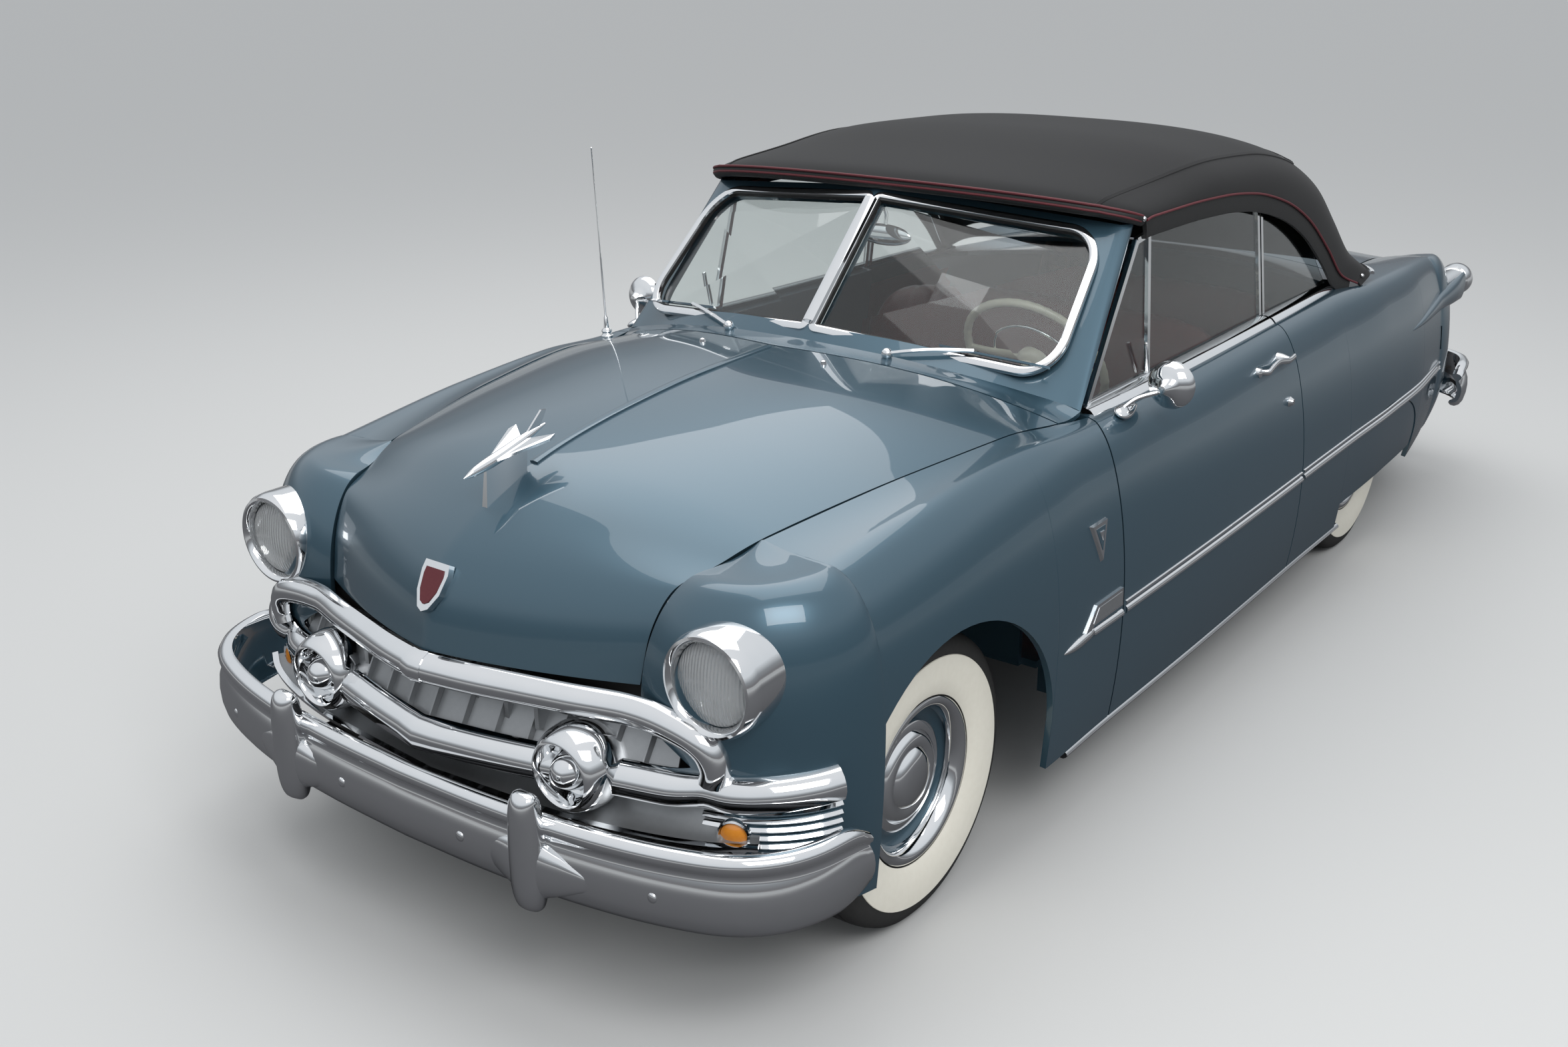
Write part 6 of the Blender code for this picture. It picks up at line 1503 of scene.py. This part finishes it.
CARD_LOW_Z, CARD_TOP_Z = 0.400, 0.940


def card_surface(first, last, depth):
    """A trim card's face or back, a depth inside the body's skin."""
    return lambda u, v: side_point(first + (last - first) * u,
                                   CARD_LOW_Z + (CARD_TOP_Z - CARD_LOW_Z) * v, -depth)


for name, first, last, body in (("door_card", -0.790, 0.320, "door"), ("quarter_card", 0.400, 1.080, "body")):
    card = shell(card_surface(first, last, 0.052), card_surface(first, last, 0.060), 24, 16)
    piece(name, card, leather, body, sides=BOTH)
crank = through([side_point(-0.35, 0.80, -0.062), side_point(-0.35, 0.80, -0.085),
                 side_point(-0.29, 0.77, -0.092), side_point(-0.25, 0.75, -0.090)], 4)
crank_bm = moulding(crank, oval(0.007, 0.004, 12), Vector((0.2, 0, 1)))
piece("window_crank", crank_bm, chrome, "door", sides=BOTH)
inside_mirror = ball(1.0, (0.0, -0.630, 1.345), 36, 18, (0.090, 0.016, 0.030))
piece("inside_mirror", inside_mirror, chrome, "body", smooth=60)
stem = [Vector((0, -0.625, 1.365)), Vector((0, -0.620, 1.400)), Vector((0, -0.640, 1.440))]
piece("inside_mirror_stem", moulding(stem, oval(0.006, 0.006, 10), Vector((1, 0, 0))), chrome, "body")

# Front apron: a black sheet on each side between the wheel opening and the engine.
APRON_FRONT, APRON_REAR = -2.100, -1.080
apron = block((0.006, APRON_REAR - APRON_FRONT, 0.300), (0.452, (APRON_FRONT + APRON_REAR) / 2, 0.700))
piece("front_apron", apron, under_black, "body", sides=BOTH)

# Everything of the part that still shows, the chassis and running gear for the most, takes the
# finish that belongs to its material.
finishes = {"body_paint": paint, "chrome": chrome, "glass": glass, "grille_silver": silver,
            "tyre_rubber": tread, "top_fabric": canvas, "seat_leather": leather, "ivory": ivory,
            "chassis_black": under_black, "iron": iron, "lamp_glass": lamp_glass, "red_lens": red}
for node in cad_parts.values():
    for material_slot in node.material_slots:
        plain = material_slot.material.name.split(".")[0]
        if plain in finishes:
            material_slot.material = finishes[plain]

low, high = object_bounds()
